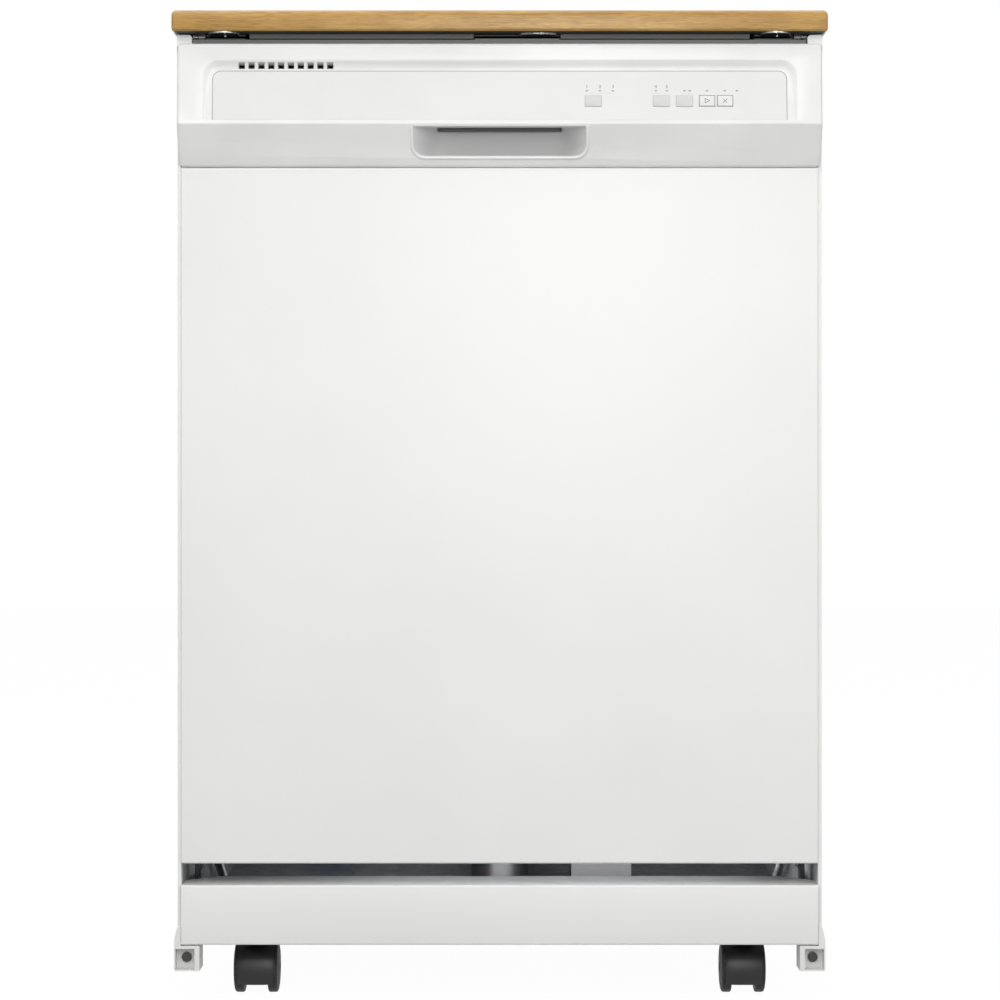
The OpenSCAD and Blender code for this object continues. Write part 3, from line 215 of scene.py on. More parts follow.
@dataclass(frozen=True)
class PowderCoat(Finish):
    """Powder-coated steel sheet: an even colour, with faint orange peel that softens its gloss."""

    peel_mm: float = 2.6
    peel_depth_mm: float = 0.006
    drift_mm: float = 160.0
    coat: float = 0.25
    coat_roughness: float = 0.12

    def build(self, tree: Tree) -> Socket:
        """Builds orange peel, a slow drift of tone and a thin clear skin.

        Args:
            tree: The material's node tree.

        Returns:
            The shader's output.
        """
        peel = add(tree, "TexNoise", {"Scale": 1.0, "Detail": 2.0},
                   {"Vector": real_space(tree, self.peel_mm)})
        drift = add(tree, "TexNoise", {"Scale": 1.0}, {"Vector": real_space(tree, self.drift_mm)})
        tone = add(tree, "ValToRGB", {"stops": [(0.3, shade(self.colour, 0.985)), (0.7, self.colour)]},
                   {"Fac": drift.outputs["Fac"]})
        gloss = self.spread(tree, drift.outputs["Fac"], self.roughness - 0.05, self.roughness + 0.05)
        return self.body(tree, tone.outputs["Color"], gloss, peel.outputs["Fac"], self.peel_depth_mm,
                         IOR=self.ior, Coat_Weight=self.coat, Coat_Roughness=self.coat_roughness)


@dataclass(frozen=True)
class MouldedPlastic(Finish):
    """Injection-moulded plastic: the tool's fine spark grain breaks its gloss into a satin sheen."""

    # A real spark grain is near 0.1 mm, and is drawn coarser so that it shows.
    grain_mm: float = 0.9
    grain_depth_mm: float = 0.008
    flow_mm: float = 70.0

    def build(self, tree: Tree) -> Socket:
        """Builds the tool's grain and the slow flow marks of the melt.

        Args:
            tree: The material's node tree.

        Returns:
            The shader's output.
        """
        grain = add(tree, "TexNoise", {"Scale": 1.0, "Detail": 3.0},
                    {"Vector": real_space(tree, self.grain_mm)})
        flow = add(tree, "TexNoise", {"Scale": 1.0}, {"Vector": real_space(tree, self.flow_mm)})
        tone = add(tree, "ValToRGB", {"stops": [(0.3, shade(self.colour, 0.97)), (0.7, self.colour)]},
                   {"Fac": flow.outputs["Fac"]})
        gloss = self.spread(tree, grain.outputs["Fac"], self.roughness - 0.07, self.roughness + 0.07)
        return self.body(tree, tone.outputs["Color"], gloss, grain.outputs["Fac"], self.grain_depth_mm,
                         IOR=self.ior)


@dataclass(frozen=True)
class ShadePaintedScoopPlastic(MouldedPlastic):
    """Moulded plastic greyed from a scoop's rim to its back: painted shade for the depth of the pocket."""

    # The grey of the painted shade at the scoop's back, and the depths where it starts and where it is full.
    deep: str = "#C6C6C6"
    depths_mm: Pair = (-331.0, -309.0)

    def body(self, tree: Tree, colour: Socket, gloss: Socket, relief: Socket, depth_mm: float,
             **constants: Any) -> Socket:
        """Greys the colour from the rim to the back, as painted shade, before the surface is joined.

        Args:
            tree: The node tree.
            colour: The base colour.
            gloss: The roughness.
            relief: The height pattern, 0 to 1.
            depth_mm: The real depth of the relief.
            constants: Values that are the same all over, with _ for each space in their names.

        Returns:
            The shader's output.
        """
        # Painted shade: the colour greys from the rim to the back.
        split = add(tree, "SeparateXYZ", links={"Vector": add(tree, "TexCoord").outputs["Object"]})
        rim, back = (depth * MM for depth in self.depths_mm)
        share = add(tree, "MapRange", {"From Min": rim, "From Max": back}, {"Value": split.outputs["Y"]})
        shaded_colour = add(tree, "MixRGB", {"Color2": linear(self.deep)},
                     {"Fac": share.outputs["Result"], "Color1": colour})
        return super().body(tree, shaded_colour.outputs["Color"], gloss, relief, depth_mm, **constants)


@dataclass(frozen=True)
class ButcherBlock(Finish):
    """Oiled hardwood staves glued edge to edge: each has its own tone, and long grain lines run in it."""

    stave_w_mm: float = 40.0
    stave_l_mm: float = 700.0
    side_seam_mm: float = 0.35
    end_seam_mm: float = 0.30
    seam_share: float = 0.35
    grain_mm: float = 1.3
    cloud_mm: float = 16.0
    # Real pores are near 0.1 mm wide, and are drawn wider so that they show.
    pore_mm: float = 0.5
    pore_depth_mm: float = 0.03
    light: str = "#C8A258"
    dark: str = "#8A6528"
    pore: str = "#C9B79C"
    glue: str = "#6E5028"

    def build(self, tree: Tree) -> Socket:
        """Builds staves, their grain, the pores and the glue lines.

        Args:
            tree: The material's node tree.

        Returns:
            The shader's output.
        """
        place = add(tree, "TexCoord").outputs["Object"]
        split = add(tree, "SeparateXYZ", links={"Vector": place})
        across = add(tree, "Math", {"operation": "DIVIDE", 1: self.stave_w_mm * MM}, {0: split.outputs["Y"]})
        row = add(tree, "Math", {"operation": "FLOOR"}, {0: across.outputs[0]})
        shift = add(tree, "TexWhiteNoise", {"noise_dimensions": "1D"}, {"W": row.outputs[0]})
        along = add(tree, "Math", {"operation": "DIVIDE", 1: self.stave_l_mm * MM}, {0: split.outputs["X"]})
        moved = add(tree, "Math", {"operation": "ADD"}, {0: along.outputs[0], 1: shift.outputs["Value"]})
        piece = add(tree, "Math", {"operation": "FLOOR"}, {0: moved.outputs[0]})
        both = add(tree, "CombineXYZ", links={"X": row.outputs[0], "Y": piece.outputs[0]})
        stave = add(tree, "TexWhiteNoise", {"noise_dimensions": "2D"}, {"Vector": both.outputs[0]})

        jump = add(tree, "VectorMath", {"operation": "SCALE", "Scale": 40.0}, {0: stave.outputs["Color"]})
        fibre = add(tree, "VectorMath", {"operation": "ADD"},
                    {0: real_space(tree, self.grain_mm, (70.0, 1.6, 1.0)), 1: jump.outputs[0]})
        grain = add(tree, "TexNoise", {"Scale": 1.0, "Detail": 5.0, "Roughness": 0.6, "Distortion": 0.6},
                    {"Vector": fibre.outputs[0]})
        cloud = add(tree, "TexNoise", {"Scale": 1.0, "Detail": 2.0},
                    {"Vector": real_space(tree, self.cloud_mm, (4.0, 1.0, 1.0))})
        pores = add(tree, "TexNoise", {"Scale": 1.0, "Detail": 2.0},
                    {"Vector": real_space(tree, self.pore_mm, (26.0, 1.0, 1.0))})

        own_tone = self.spread(tree, stave.outputs["Value"], -0.05, 0.22)
        mixed = add(tree, "Math", {"operation": "MULTIPLY_ADD", 1: 0.55},
                    {0: grain.outputs["Fac"], 2: own_tone})
        level = add(tree, "Math", {"operation": "MULTIPLY_ADD", 1: 0.45},
                    {0: cloud.outputs["Fac"], 2: mixed.outputs[0]})
        tone = add(tree, "ValToRGB", {"stops": [(0.36, self.dark), (0.56, self.colour), (0.8, self.light)]},
                   {"Fac": level.outputs[0]})
        fine = add(tree, "ValToRGB", {"stops": [(0.40, self.pore), (0.52, "#FFFFFF")]},
                   {"Fac": pores.outputs["Fac"]})
        grained = add(tree, "MixRGB", {"blend_type": "MULTIPLY", "Fac": 0.6},
                      {"Color1": tone.outputs["Color"], "Color2": fine.outputs["Color"]})

        seam_y = self.seam(tree, across.outputs[0], self.side_seam_mm / self.stave_w_mm)
        seam_x = self.seam(tree, moved.outputs[0], self.end_seam_mm / self.stave_l_mm)
        seams = add(tree, "Math", {"operation": "MAXIMUM"}, {0: seam_y, 1: seam_x})
        faded = add(tree, "Math", {"operation": "MULTIPLY", 1: self.seam_share}, {0: seams.outputs[0]})
        glued = add(tree, "MixRGB", {"Color2": linear(self.glue)},
                    {"Fac": faded.outputs[0], "Color1": grained.outputs["Color"]})
        gloss = self.spread(tree, grain.outputs["Fac"], self.roughness + 0.08, self.roughness - 0.08)
        return self.body(tree, glued.outputs["Color"], gloss, pores.outputs["Fac"], self.pore_depth_mm,
                         IOR=self.ior)

    def seam(self, tree: Tree, cells: Socket, width: float) -> Socket:
        """Marks the thin line between one stave and the next.

        Args:
            tree: The node tree.
            cells: A coordinate that grows by one from stave to stave.
            width: The line's half width, as a share of a stave.

        Returns:
            1 on the line and 0 away from it.
        """
        part = add(tree, "Math", {"operation": "FRACT"}, {0: cells})
        centre = add(tree, "Math", {"operation": "SUBTRACT", 1: 0.5}, {0: part.outputs[0]})
        away = add(tree, "Math", {"operation": "ABSOLUTE"}, {0: centre.outputs[0]})
        line = add(tree, "Math", {"operation": "GREATER_THAN", 1: 0.5 - width}, {0: away.outputs[0]})
        return line.outputs[0]


@dataclass(frozen=True)
class BrushedSteel(Finish):
    """Brushed stainless sheet: fine parallel scratches stretch its highlights across the grain."""

    # Real scratches are finer than 0.1 mm, and are drawn coarser so that they show.
    scratch_mm: float = 0.5
    scratch_depth_mm: float = 0.004
    wear_mm: float = 60.0
    stretch: Point = (90.0, 1.0, 1.0)

    def build(self, tree: Tree) -> Socket:
        """Builds the scratches and faint clouds of wear.

        Args:
            tree: The material's node tree.

        Returns:
            The shader's output.
        """
        lines = add(tree, "TexNoise", {"Scale": 1.0, "Detail": 4.0},
                    {"Vector": real_space(tree, self.scratch_mm, self.stretch)})
        clouds = add(tree, "TexNoise", {"Scale": 1.0}, {"Vector": real_space(tree, self.wear_mm)})
        tone = add(tree, "ValToRGB", {"stops": [(0.3, shade(self.colour, 0.93)), (0.7, self.colour)]},
                   {"Fac": clouds.outputs["Fac"]})
        gloss = self.spread(tree, lines.outputs["Fac"], self.roughness - 0.1, self.roughness + 0.1)
        return self.body(tree, tone.outputs["Color"], gloss, lines.outputs["Fac"], self.scratch_depth_mm,
                         Metallic=1.0, Anisotropic=0.4)


@dataclass(frozen=True)
class GalvanisedSteel(Finish):
    """Hot-dip galvanised sheet: zinc crystals show as dull spangles of slightly different grey."""

    spangle_mm: float = 9.0
    frost_mm: float = 1.2
    frost_depth_mm: float = 0.004

    def build(self, tree: Tree) -> Socket:
        """Builds the spangles and the fine frost on them.

        Args:
            tree: The material's node tree.

        Returns:
            The shader's output.
        """
        spangle = add(tree, "TexVoronoi", {"Scale": 1.0}, {"Vector": real_space(tree, self.spangle_mm)})
        frost = add(tree, "TexNoise", {"Scale": 1.0, "Detail": 3.0},
                    {"Vector": real_space(tree, self.frost_mm)})
        grey = add(tree, "SeparateColor", links={"Color": spangle.outputs["Color"]})
        tone = add(tree, "ValToRGB", {"stops": [(0.1, shade(self.colour, 0.88)), (0.9, self.colour)]},
                   {"Fac": grey.outputs["Red"]})
        gloss = self.spread(tree, grey.outputs["Green"], self.roughness - 0.08, self.roughness + 0.08)
        return self.body(tree, tone.outputs["Color"], gloss, frost.outputs["Fac"], self.frost_depth_mm,
                         Metallic=0.85)


@dataclass(frozen=True)
class SoftRubber(Finish):
    """Moulded rubber: matt, with a dusty bloom that lightens it in patches."""

    bloom: str = "#3A3A3C"
    bloom_mm: float = 9.0
    grain_mm: float = 0.8
    grain_depth_mm: float = 0.02

    def build(self, tree: Tree) -> Socket:
        """Builds the bloom and a fine leathery grain.

        Args:
            tree: The material's node tree.

        Returns:
            The shader's output.
        """
        dust = add(tree, "TexNoise", {"Scale": 1.0, "Detail": 6.0, "Roughness": 0.7},
                   {"Vector": real_space(tree, self.bloom_mm)})
        grain = add(tree, "TexVoronoi", {"Scale": 1.0}, {"Vector": real_space(tree, self.grain_mm)})
        tone = add(tree, "ValToRGB", {"stops": [(0.42, self.colour), (0.75, self.bloom)]},
                   {"Fac": dust.outputs["Fac"]})
        gloss = self.spread(tree, dust.outputs["Fac"], self.roughness - 0.1, self.roughness + 0.12)
        return self.body(tree, tone.outputs["Color"], gloss, grain.outputs["Distance"], self.grain_depth_mm,
                         IOR=self.ior)


@dataclass(frozen=True)
class NeedledFelt(Finish):
    """Needled felt: loose fibres cross each other, so it is rough and has no gloss at all."""

    # Real fibres are near 0.03 mm thick, and are drawn as strands that show.
    fibre_mm: float = 0.7
    nap_mm: float = 0.5

    def build(self, tree: Tree) -> Socket:
        """Builds crossed fibres and the darker hollows between them.

        Args:
            tree: The material's node tree.

        Returns:
            The shader's output.
        """
        first = add(tree, "TexNoise", {"Scale": 1.0, "Detail": 4.0},
                    {"Vector": real_space(tree, self.fibre_mm, (1.0, 9.0, 1.0))})
        second = add(tree, "TexNoise", {"Scale": 1.0, "Detail": 4.0},
                     {"Vector": real_space(tree, self.fibre_mm, (1.0, 1.0, 9.0))})
        cross = add(tree, "Math", {"operation": "MAXIMUM"},
                    {0: first.outputs["Fac"], 1: second.outputs["Fac"]})
        hollow, raised = shade(self.colour, 0.6), shade(self.colour, 1.3)
        tone = add(tree, "ValToRGB", {"stops": [(0.4, hollow), (0.75, raised)]}, {"Fac": cross.outputs[0]})
        gloss = self.spread(tree, cross.outputs[0], self.roughness - 0.05, self.roughness)
        return self.body(tree, tone.outputs["Color"], gloss, cross.outputs[0], self.nap_mm, Sheen_Weight=0.2)


@dataclass(frozen=True)
class PrintedFilm(Finish):
    """Polyester film printed on its back: very even, with a fine satin emboss over the print."""

    # A real emboss is near 0.2 mm, and is drawn coarser so that it shows.
    emboss_mm: float = 0.7
    emboss_depth_mm: float = 0.004
    print_mm: float = 45.0

    def build(self, tree: Tree) -> Socket:
        """Builds the emboss and a faint unevenness of the print.

        Args:
            tree: The material's node tree.

        Returns:
            The shader's output.
        """
        emboss = add(tree, "TexVoronoi", {"Scale": 1.0}, {"Vector": real_space(tree, self.emboss_mm)})
        cloud = add(tree, "TexNoise", {"Scale": 1.0}, {"Vector": real_space(tree, self.print_mm)})
        tone = add(tree, "ValToRGB", {"stops": [(0.3, shade(self.colour, 0.985)), (0.7, self.colour)]},
                   {"Fac": cloud.outputs["Fac"]})
        gloss = self.spread(tree, emboss.outputs["Distance"], self.roughness - 0.04, self.roughness + 0.06)
        return self.body(tree, tone.outputs["Color"], gloss, emboss.outputs["Distance"], self.emboss_depth_mm,
                         IOR=self.ior)


# Powder coat: bright and even, its peel shows only where a lamp glances off.
WHITE_STEEL = PowderCoat("powder_coated_steel_white", "#E9E9E8", 0.36, coat=0.0)
# Black powder coat on pressed steel: deep, with soft highlights on its folds.
BLACK_STEEL = PowderCoat("powder_coated_steel_black", "#161617", 0.38, coat=0.4)
# ABS from a polished tool: a clean satin white.
CONSOLE_ABS = MouldedPlastic("moulded_abs_white", "#E8E8E7", 0.30, grain_depth_mm=0.002)
# The same ABS where it lines the handle pocket, greyed with depth as painted shade, so the scoop reads as
# deep.
SCOOP_ABS_PAINTED_SHADE = ShadePaintedScoopPlastic("moulded_abs_scoop_painted_shade", "#ECECEB", 0.42, grain_depth_mm=0.004)
# Polypropylene from a grained tool: a little duller than the sheet beside it.
FOOT_PP = MouldedPlastic("grained_polypropylene_white", "#E2E2E1", 0.45)
# Polyester film printed on its back: even and satin, a shade greyer than the shell round it.
OVERLAY_FILM = PrintedFilm("printed_polyester_film", "#DEDEDD", 0.34)
# A thin grey edge round the film: painted shade for the gap between film and recess.
FILM_EDGE_PAINTED_SHADE = PrintedFilm("film_edge_painted_shade", "#9C9C9B", 0.4)
# Dark screen-printing ink: reads as crisp marks.
PRINT_INK = PrintedFilm("screen_print_ink_grey", "#5E5E60", 0.5)
# Pale screen-printing ink: guide lines that just show.
PALE_INK = PrintedFilm("screen_print_ink_pale", "#CBCBCB", 0.5)
# Moulded silicone: matt keys, grey for the options and near white for start and cancel.
KEY_GREY = MouldedPlastic("silicone_key_grey", "#D2D2D1", 0.5, grain_mm=1.6, flow_mm=2.2)
KEY_WHITE = MouldedPlastic("silicone_key_white", "#E4E4E3", 0.5, grain_mm=1.6)
# Smoked acrylic, moulded and unlit: small dull ovals.
LENS = MouldedPlastic("smoked_acrylic_lens", "#8D918B", 0.2, grain_depth_mm=0.001)
# Planed and oiled beech staves: warm brown with a low sheen.
BEECH_BLOCK = ButcherBlock("oiled_beech_butcher_block", "#AA8138", 0.34)
# Painted shade on the wood's underside: black and flat, for the shade under the worktop.
UNDERSIDE_PAINTED_SHADE = MouldedPlastic("black_painted_shade_underside", "#2A2826", 0.6, grain_mm=2.0)
# Galvanised sheet of the back and the base: dull grey, broken up by its spangles.
GALVANISED = GalvanisedSteel("galvanised_steel", "#A9ACAE", 0.45)
# Zinc-plated hardware: smoother and brighter than the sheet.
ZINC_PLATE = GalvanisedSteel("zinc_plated_steel", "#C2C3C4", 0.3, spangle_mm=2.0)
# Brushed stainless strip of the upper rack's rails: long soft highlights.
STAINLESS = BrushedSteel("brushed_stainless_steel", "#CFCFCC", 0.3)
# Drawn stainless tube of the heater: browned a little by its own heat.
HEATER_TUBE = BrushedSteel("drawn_stainless_tube", "#9C948A", 0.35, scratch_mm=0.8,
                           stretch=(1.0, 1.0, 1.0))
# Glass-filled nylon: nearly black, satin.
BLACK_NYLON = MouldedPlastic("glass_filled_nylon_black", "#19191B", 0.40, ior=1.45, grain_depth_mm=0.02)
# Glass-filled nylon of the latch paddle: dark grey.
GREY_NYLON = MouldedPlastic("glass_filled_nylon_grey", "#5A5A5C", 0.45, grain_depth_mm=0.02)
# Moulded grey polypropylene of the wash system: an even middle grey.
GREY_PP = MouldedPlastic("polypropylene_grey", "#A3A6A8", 0.42)
# Filled polypropylene of the tub and the door's inner wall: pale grey and matt.
TUB_PP = MouldedPlastic("filled_polypropylene_light_grey", "#C6C9CA", 0.40, grain_mm=1.4)
# Matt grey paint on the rail under the worktop and on the strip behind the washers, drawn dark as painted
# shade so that the gap stays dim.
RAIL_PAINTED_SHADE = PowderCoat("rail_grey_painted_shade", "#666666", 0.45, coat=0.0)
# ABS from a polished tool: glossy caps at the cabinet's upper corners, whiter than the rest as painted light
# against the worktop's shadow.
CAP_ABS_PAINTED_LIGHT = MouldedPlastic("moulded_abs_gloss_white_painted_light", "#FBFBFB", 0.25, grain_depth_mm=0.001)
# Nylon dip on steel wire: soft highlights, slightly waxy.
NYLON_DIP = MouldedPlastic("nylon_dipped_wire", "#C3C7CA", 0.33, grain_mm=1.8)
# Moulded blue acetal: the one bright colour inside.
BLUE_ACETAL = MouldedPlastic("acetal_blue", "#3D6AA8", 0.35)
# Moulded thermoplastic tread of the casters: black, dulled by a faint bloom.
TREAD = SoftRubber("thermoplastic_rubber_tread", "#1C1C1E", 0.55, ior=1.35)
# Extruded EPDM of the door seal: dark and matt.
SEAL_EPDM = SoftRubber("epdm_seal", "#2C2C2E", 0.6)
# Extruded EPDM hose: middle grey and matt.
HOSE_EPDM = SoftRubber("epdm_hose_grey", "#4A4A4C", 0.5, bloom="#5C5C5E")
# Needled felt soaked with bitumen: brown-black, without any shine.
SOUND_FELT = NeedledFelt("bitumen_felt", "#2B2825", 0.95)
# Solder mask printed on the circuit board: smooth dark green.
SOLDER_MASK = PrintedFilm("green_solder_mask", "#1B5A33", 0.35)


# ---- Meshes ----

class Axis(Enum):
    """The axis that a shape is drawn out along or turned about."""

    X = 0
    Y = 1
    Z = 2

    def place(self, along: float, u: float, v: float) -> Point:
        """Puts a point of a drawing in space.

        Args:
            along: The place along this axis.
            u: The drawing's first coordinate: Y for X, otherwise X.
            v: The drawing's second coordinate: Y for Z, otherwise Z.

        Returns:
            The point.
        """
        return {Axis.X: (along, u, v), Axis.Y: (u, along, v), Axis.Z: (u, v, along)}[self]


def rounded(width: float, height: float, radii: Sequence[float], steps: int = 6,
            centre: Pair = (0.0, 0.0)) -> list[Pair]:
    """Draws a rectangle with round corners.

    Args:
        width: Its whole width.
        height: Its whole height.
        radii: The corners' radii: low right, high right, high left, low left.
        steps: The number of chords in each corner.
        centre: The rectangle's middle.

    Returns:
        The outline's points, anticlockwise.
    """
    signs = ((1, -1), (1, 1), (-1, 1), (-1, -1))
    outline = []
    for turn, ((sx, sy), r) in enumerate(zip(signs, radii)):
        cx = centre[0] + sx * (width / 2 - r)
        cy = centre[1] + sy * (height / 2 - r)
        for i in range(steps + 1):
            angle = (turn - 1 + i / steps) * QUARTER
            outline.append((cx + r * math.cos(angle), cy + r * math.sin(angle)))
    return outline


def circle(radius: float, steps: int, centre: Pair = (0.0, 0.0)) -> list[Pair]:
    """Gives a circle's points, anticlockwise."""
    turns = [2 * math.pi * i / steps for i in range(steps)]
    return [(centre[0] + radius * math.cos(a), centre[1] + radius * math.sin(a)) for a in turns]


def quarter(steps: int) -> list[Pair]:
    """Gives the sine and the cosine of evenly spaced angles from 0 to 90 degrees."""
    return [(math.sin(QUARTER * i / steps), math.cos(QUARTER * i / steps)) for i in range(steps + 1)]


def rising(a: float, b: float) -> Pair:
    """Gives two places in rising order."""
    return min(a, b), max(a, b)


class Sketch:
    """A mesh under construction, in millimetres."""

    def __init__(self) -> None:
        """Starts an empty mesh."""
        self.mesh = bmesh.new()

    def loft(self, rings: Sequence[Sequence[Point]], caps: bool = True, closed: bool = False,
             paint: int = 0) -> list[bmesh.types.BMFace]:
        """Skins rings of points, one after the other.

        Args:
            rings: Rings with the same number of points.
            caps: Whether the first and last rings are filled.
            closed: Whether the last ring joins the first.
            paint: The number of the material.

        Returns:
            The new faces.
        """
        rows = [[self.mesh.verts.new(Vector(p) * MM) for p in ring] for ring in rings]
        faces = []
        for low, high in zip(rows, rows[1:] + (rows[:1] if closed else [])):
            for i in range(len(low)):
                j = (i + 1) % len(low)
                faces.append(self.mesh.faces.new((low[i], low[j], high[j], high[i])))
        if caps and not closed:
            faces.append(self.mesh.faces.new(list(reversed(rows[0]))))
            faces.append(self.mesh.faces.new(rows[-1]))
        for face in faces:
            face.material_index = paint
        return faces

    def prism(self, axis: Axis, outline: Iterable[Pair], span: Pair, paint: int = 0,
              soften: float = 0.0) -> list[bmesh.types.BMFace]:
        """Draws an outline out along an axis.

        Args:
            axis: The axis.
            outline: The outline's points.
            span: Where it starts and ends.
            paint: The number of the material.
            soften: The radius of every sharp edge.

        Returns:
            The faces before softening.
        """
        points = list(outline)
        faces = self.loft([[axis.place(a, u, v) for u, v in points] for a in span], paint=paint)
        if soften > 0:
            edges = {e for f in faces for e in f.edges if e.calc_face_angle(0.0) > math.radians(40)}
            bmesh.ops.bevel(self.mesh, geom=list(edges), offset=soften * MM, segments=3, profile=0.5,
                            affect="EDGES", clamp_overlap=True, material=-1)
        return faces

    def block(self, x: Pair, y: Pair, z: Pair, soften: float = 0.4, paint: int = 0) -> None:
        """Draws a block whose edges are softened by a radius."""
        self.prism(Axis.Z, [(x[0], y[0]), (x[1], y[0]), (x[1], y[1]), (x[0], y[1])], z, paint, soften)

    def turned(self, axis: Axis, centre: Pair, profile: Iterable[Pair], steps: int = 40,
               paint: int = 0) -> list[bmesh.types.BMFace]:
        """Turns a profile about an axis.

        Args:
            axis: The axis.
            centre: Where the axis stands.
            profile: Places along the axis, each with its radius.
            steps: The number of chords round it.
            paint: The number of the material.

        Returns:
            The new faces.
        """
        return self.loft([[axis.place(a, u, v) for u, v in circle(r, steps, centre)] for a, r in profile],
                         paint=paint)

    def tube(self, path: Sequence[Point], radius: float, sides: int = 10, closed: bool = False,
             round_end: bool = False, paint: int = 0) -> None:
        """Draws a round wire along a path.

        Args:
            path: The wire's centre line.
            radius: The wire's radius.
            sides: The number of its sides.
            closed: Whether it joins its own start.
            round_end: Whether its far end is domed.
            paint: The number of the material.
        """
        points = [Vector(p) for p in path]
        count = len(points)
        normal = None
        rings = []
        for i, point in enumerate(points):
            ahead = points[(i + 1) % count] if closed or i < count - 1 else point
            behind = points[i - 1] if closed or i else point
            tangent = (ahead - behind).normalized()
            if normal is None:
                normal = tangent.orthogonal().normalized()
            normal = (normal - tangent * normal.dot(tangent)).normalized()
            side = tangent.cross(normal)
            rings.append([point + radius * (math.cos(a) * normal + math.sin(a) * side)
                          for a in (2 * math.pi * k / sides for k in range(sides))])
        if round_end:
            tip, axis = points[-1], (points[-1] - points[-2]).normalized()
            # The dome's two rings: how far each lies past the tip and how wide it is, in radii.
            for lift, share in ((0.5, 0.87), (0.85, 0.5)):
                dome = [tip + axis * radius * lift + (Vector(p) - tip) * share for p in rings[count - 1]]
                rings.append(dome)
        self.loft(rings, closed=closed, paint=paint)

    def place(self, name: str, body: str, *finishes: Finish, smooth: float = 32.0,
              replaces: Sequence[str] = (), slot: str = "") -> Item:
        """Turns the sketch into a piece that rides on a body.

        Args:
            name: The piece's name.
            body: The CAD body that it moves with, or "" to leave it loose.
            finishes: The materials that paint numbers stand for.
            smooth: The angle in degrees above which an edge looks sharp.
            replaces: The CAD nodes that it stands for.
            slot: A material slot's name; not used.

        Returns:
            The piece.
        """
        bmesh.ops.recalc_face_normals(self.mesh, faces=self.mesh.faces)
        data = bpy.data.meshes.new(name)
        self.mesh.to_mesh(data)
        self.mesh.free()
        item = bpy.data.objects.new(name, data)
        bpy.context.scene.collection.objects.link(item)
        for finish in finishes:
            data.materials.append(finish.material())
        smoothed(item, smooth)
        if body:
            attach(item, body)
        if replaces:
            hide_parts(*replaces)
        log.info("piece %s on %s, %d faces", name, body or "nothing yet", len(data.polygons))
        return item


def smoothed(item: Item, degrees: float) -> None:
    """Shades a mesh smooth, but keeps edges sharper than an angle crisp."""
    item.data.shade_smooth()
    item.data.set_sharp_from_angle(angle=math.radians(degrees))


class Carving(Enum):
    """What a carving does with its tool."""

    CUT = "DIFFERENCE"
    JOIN = "UNION"


def carve(item: Item, tool: Item, carving: Carving = Carving.CUT) -> None:
    """Cuts one mesh with another, or joins it on, and removes the tool.

    Args:
        item: The piece that is changed.
        tool: The closed mesh that cuts or joins.
        carving: Whether it cuts or joins.
    """
    step = item.modifiers.new("carve", "BOOLEAN")
    step.operation = carving.value
    step.solver = "EXACT"
    step.object = tool
    bpy.context.view_layer.update()
    done = bpy.data.meshes.new_from_object(item.evaluated_get(bpy.context.evaluated_depsgraph_get()))
    item.modifiers.clear()
    name = item.data.name
    item.data = done
    item.data.name = name
    bpy.data.objects.remove(tool)


def dress(node: str, finish: Finish, edge: float = 0.0, smooth: float = 34.0) -> None:
    """Gives a carried-over CAD node its finish, and softens its edges.

    Args:
        node: The node's name.
        finish: Its finish.
        edge: The radius of its sharp edges, in millimetres; 0 leaves them.
        smooth: The angle in degrees above which an edge is sharp.
    """
    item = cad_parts[node]
    for material_slot in item.material_slots:
        material_slot.material = finish.material()
    if edge > 0:
        weld = item.modifiers.new("weld", "WELD")
        weld.merge_threshold = SAME_POINT
        flat = item.modifiers.new("flat", "DECIMATE")
        flat.decimate_type = "DISSOLVE"
        flat.angle_limit = math.radians(1.0)
        bevel = item.modifiers.new("edge", "BEVEL")
        bevel.width = edge * MM
        bevel.segments = 3
        bevel.limit_method = "ANGLE"
        bevel.angle_limit = math.radians(smooth)
        bevel.use_clamp_overlap = True
        normals = item.modifiers.new("normals", "WEIGHTED_NORMAL")
        normals.keep_sharp = True
    log.info("node %s in %s", node, finish.name)


# ---- Worktop and the gap under it ----

@dataclass
class Worktop:
    """The butcher-block top, rounded over at its edges, with black painted shade underneath."""

    corner_r: float = 3.0
    least_r: float = 0.6
    upper_r: float = 5.5
    lower_r: float = 2.6
    # How far in from the edge the underside's black painted shade starts.
    painted_shade_inset: float = 0.5
    steps: int = 6

    def section(self, inset: float, z: float) -> list[Point]:
        """Gives the top's outline at a height.

        Args:
            inset: How far the outline is drawn in.
            z: The height.

        Returns:
            The outline's points.
        """
        low, high = extent("worktop")
        corner = max(self.corner_r - inset, self.least_r)
        outline = rounded(high[0] - low[0] - 2 * inset, high[1] - low[1] - 2 * inset, [corner] * 4)
        middle = (low[1] + high[1]) / 2
        return [(x, y + middle, z) for x, y in outline]

    def build(self) -> None:
        """Builds the slab from its underside, black with painted shade, up."""
        low, high = extent("worktop")
        sketch = Sketch()
        rings = [self.section(self.lower_r * (1 - sin), low[2] + self.lower_r * (1 - cos))
                 for sin, cos in quarter(self.steps)]
        rings += [self.section(self.upper_r * (1 - cos), high[2] - self.upper_r * (1 - sin))
                  for sin, cos in quarter(self.steps)]
        sketch.loft(rings)
        under = min(sketch.mesh.faces, key=lambda face: face.calc_center_median().z)
        bmesh.ops.inset_individual(sketch.mesh, faces=[under], thickness=self.painted_shade_inset * MM)
        # The underside's middle is painted shade.
        under.material_index = 1
        sketch.place("butcher_block_top", "cabinet", BEECH_BLOCK, UNDERSIDE_PAINTED_SHADE, replaces=["worktop"],
                     slot="butcher_block")


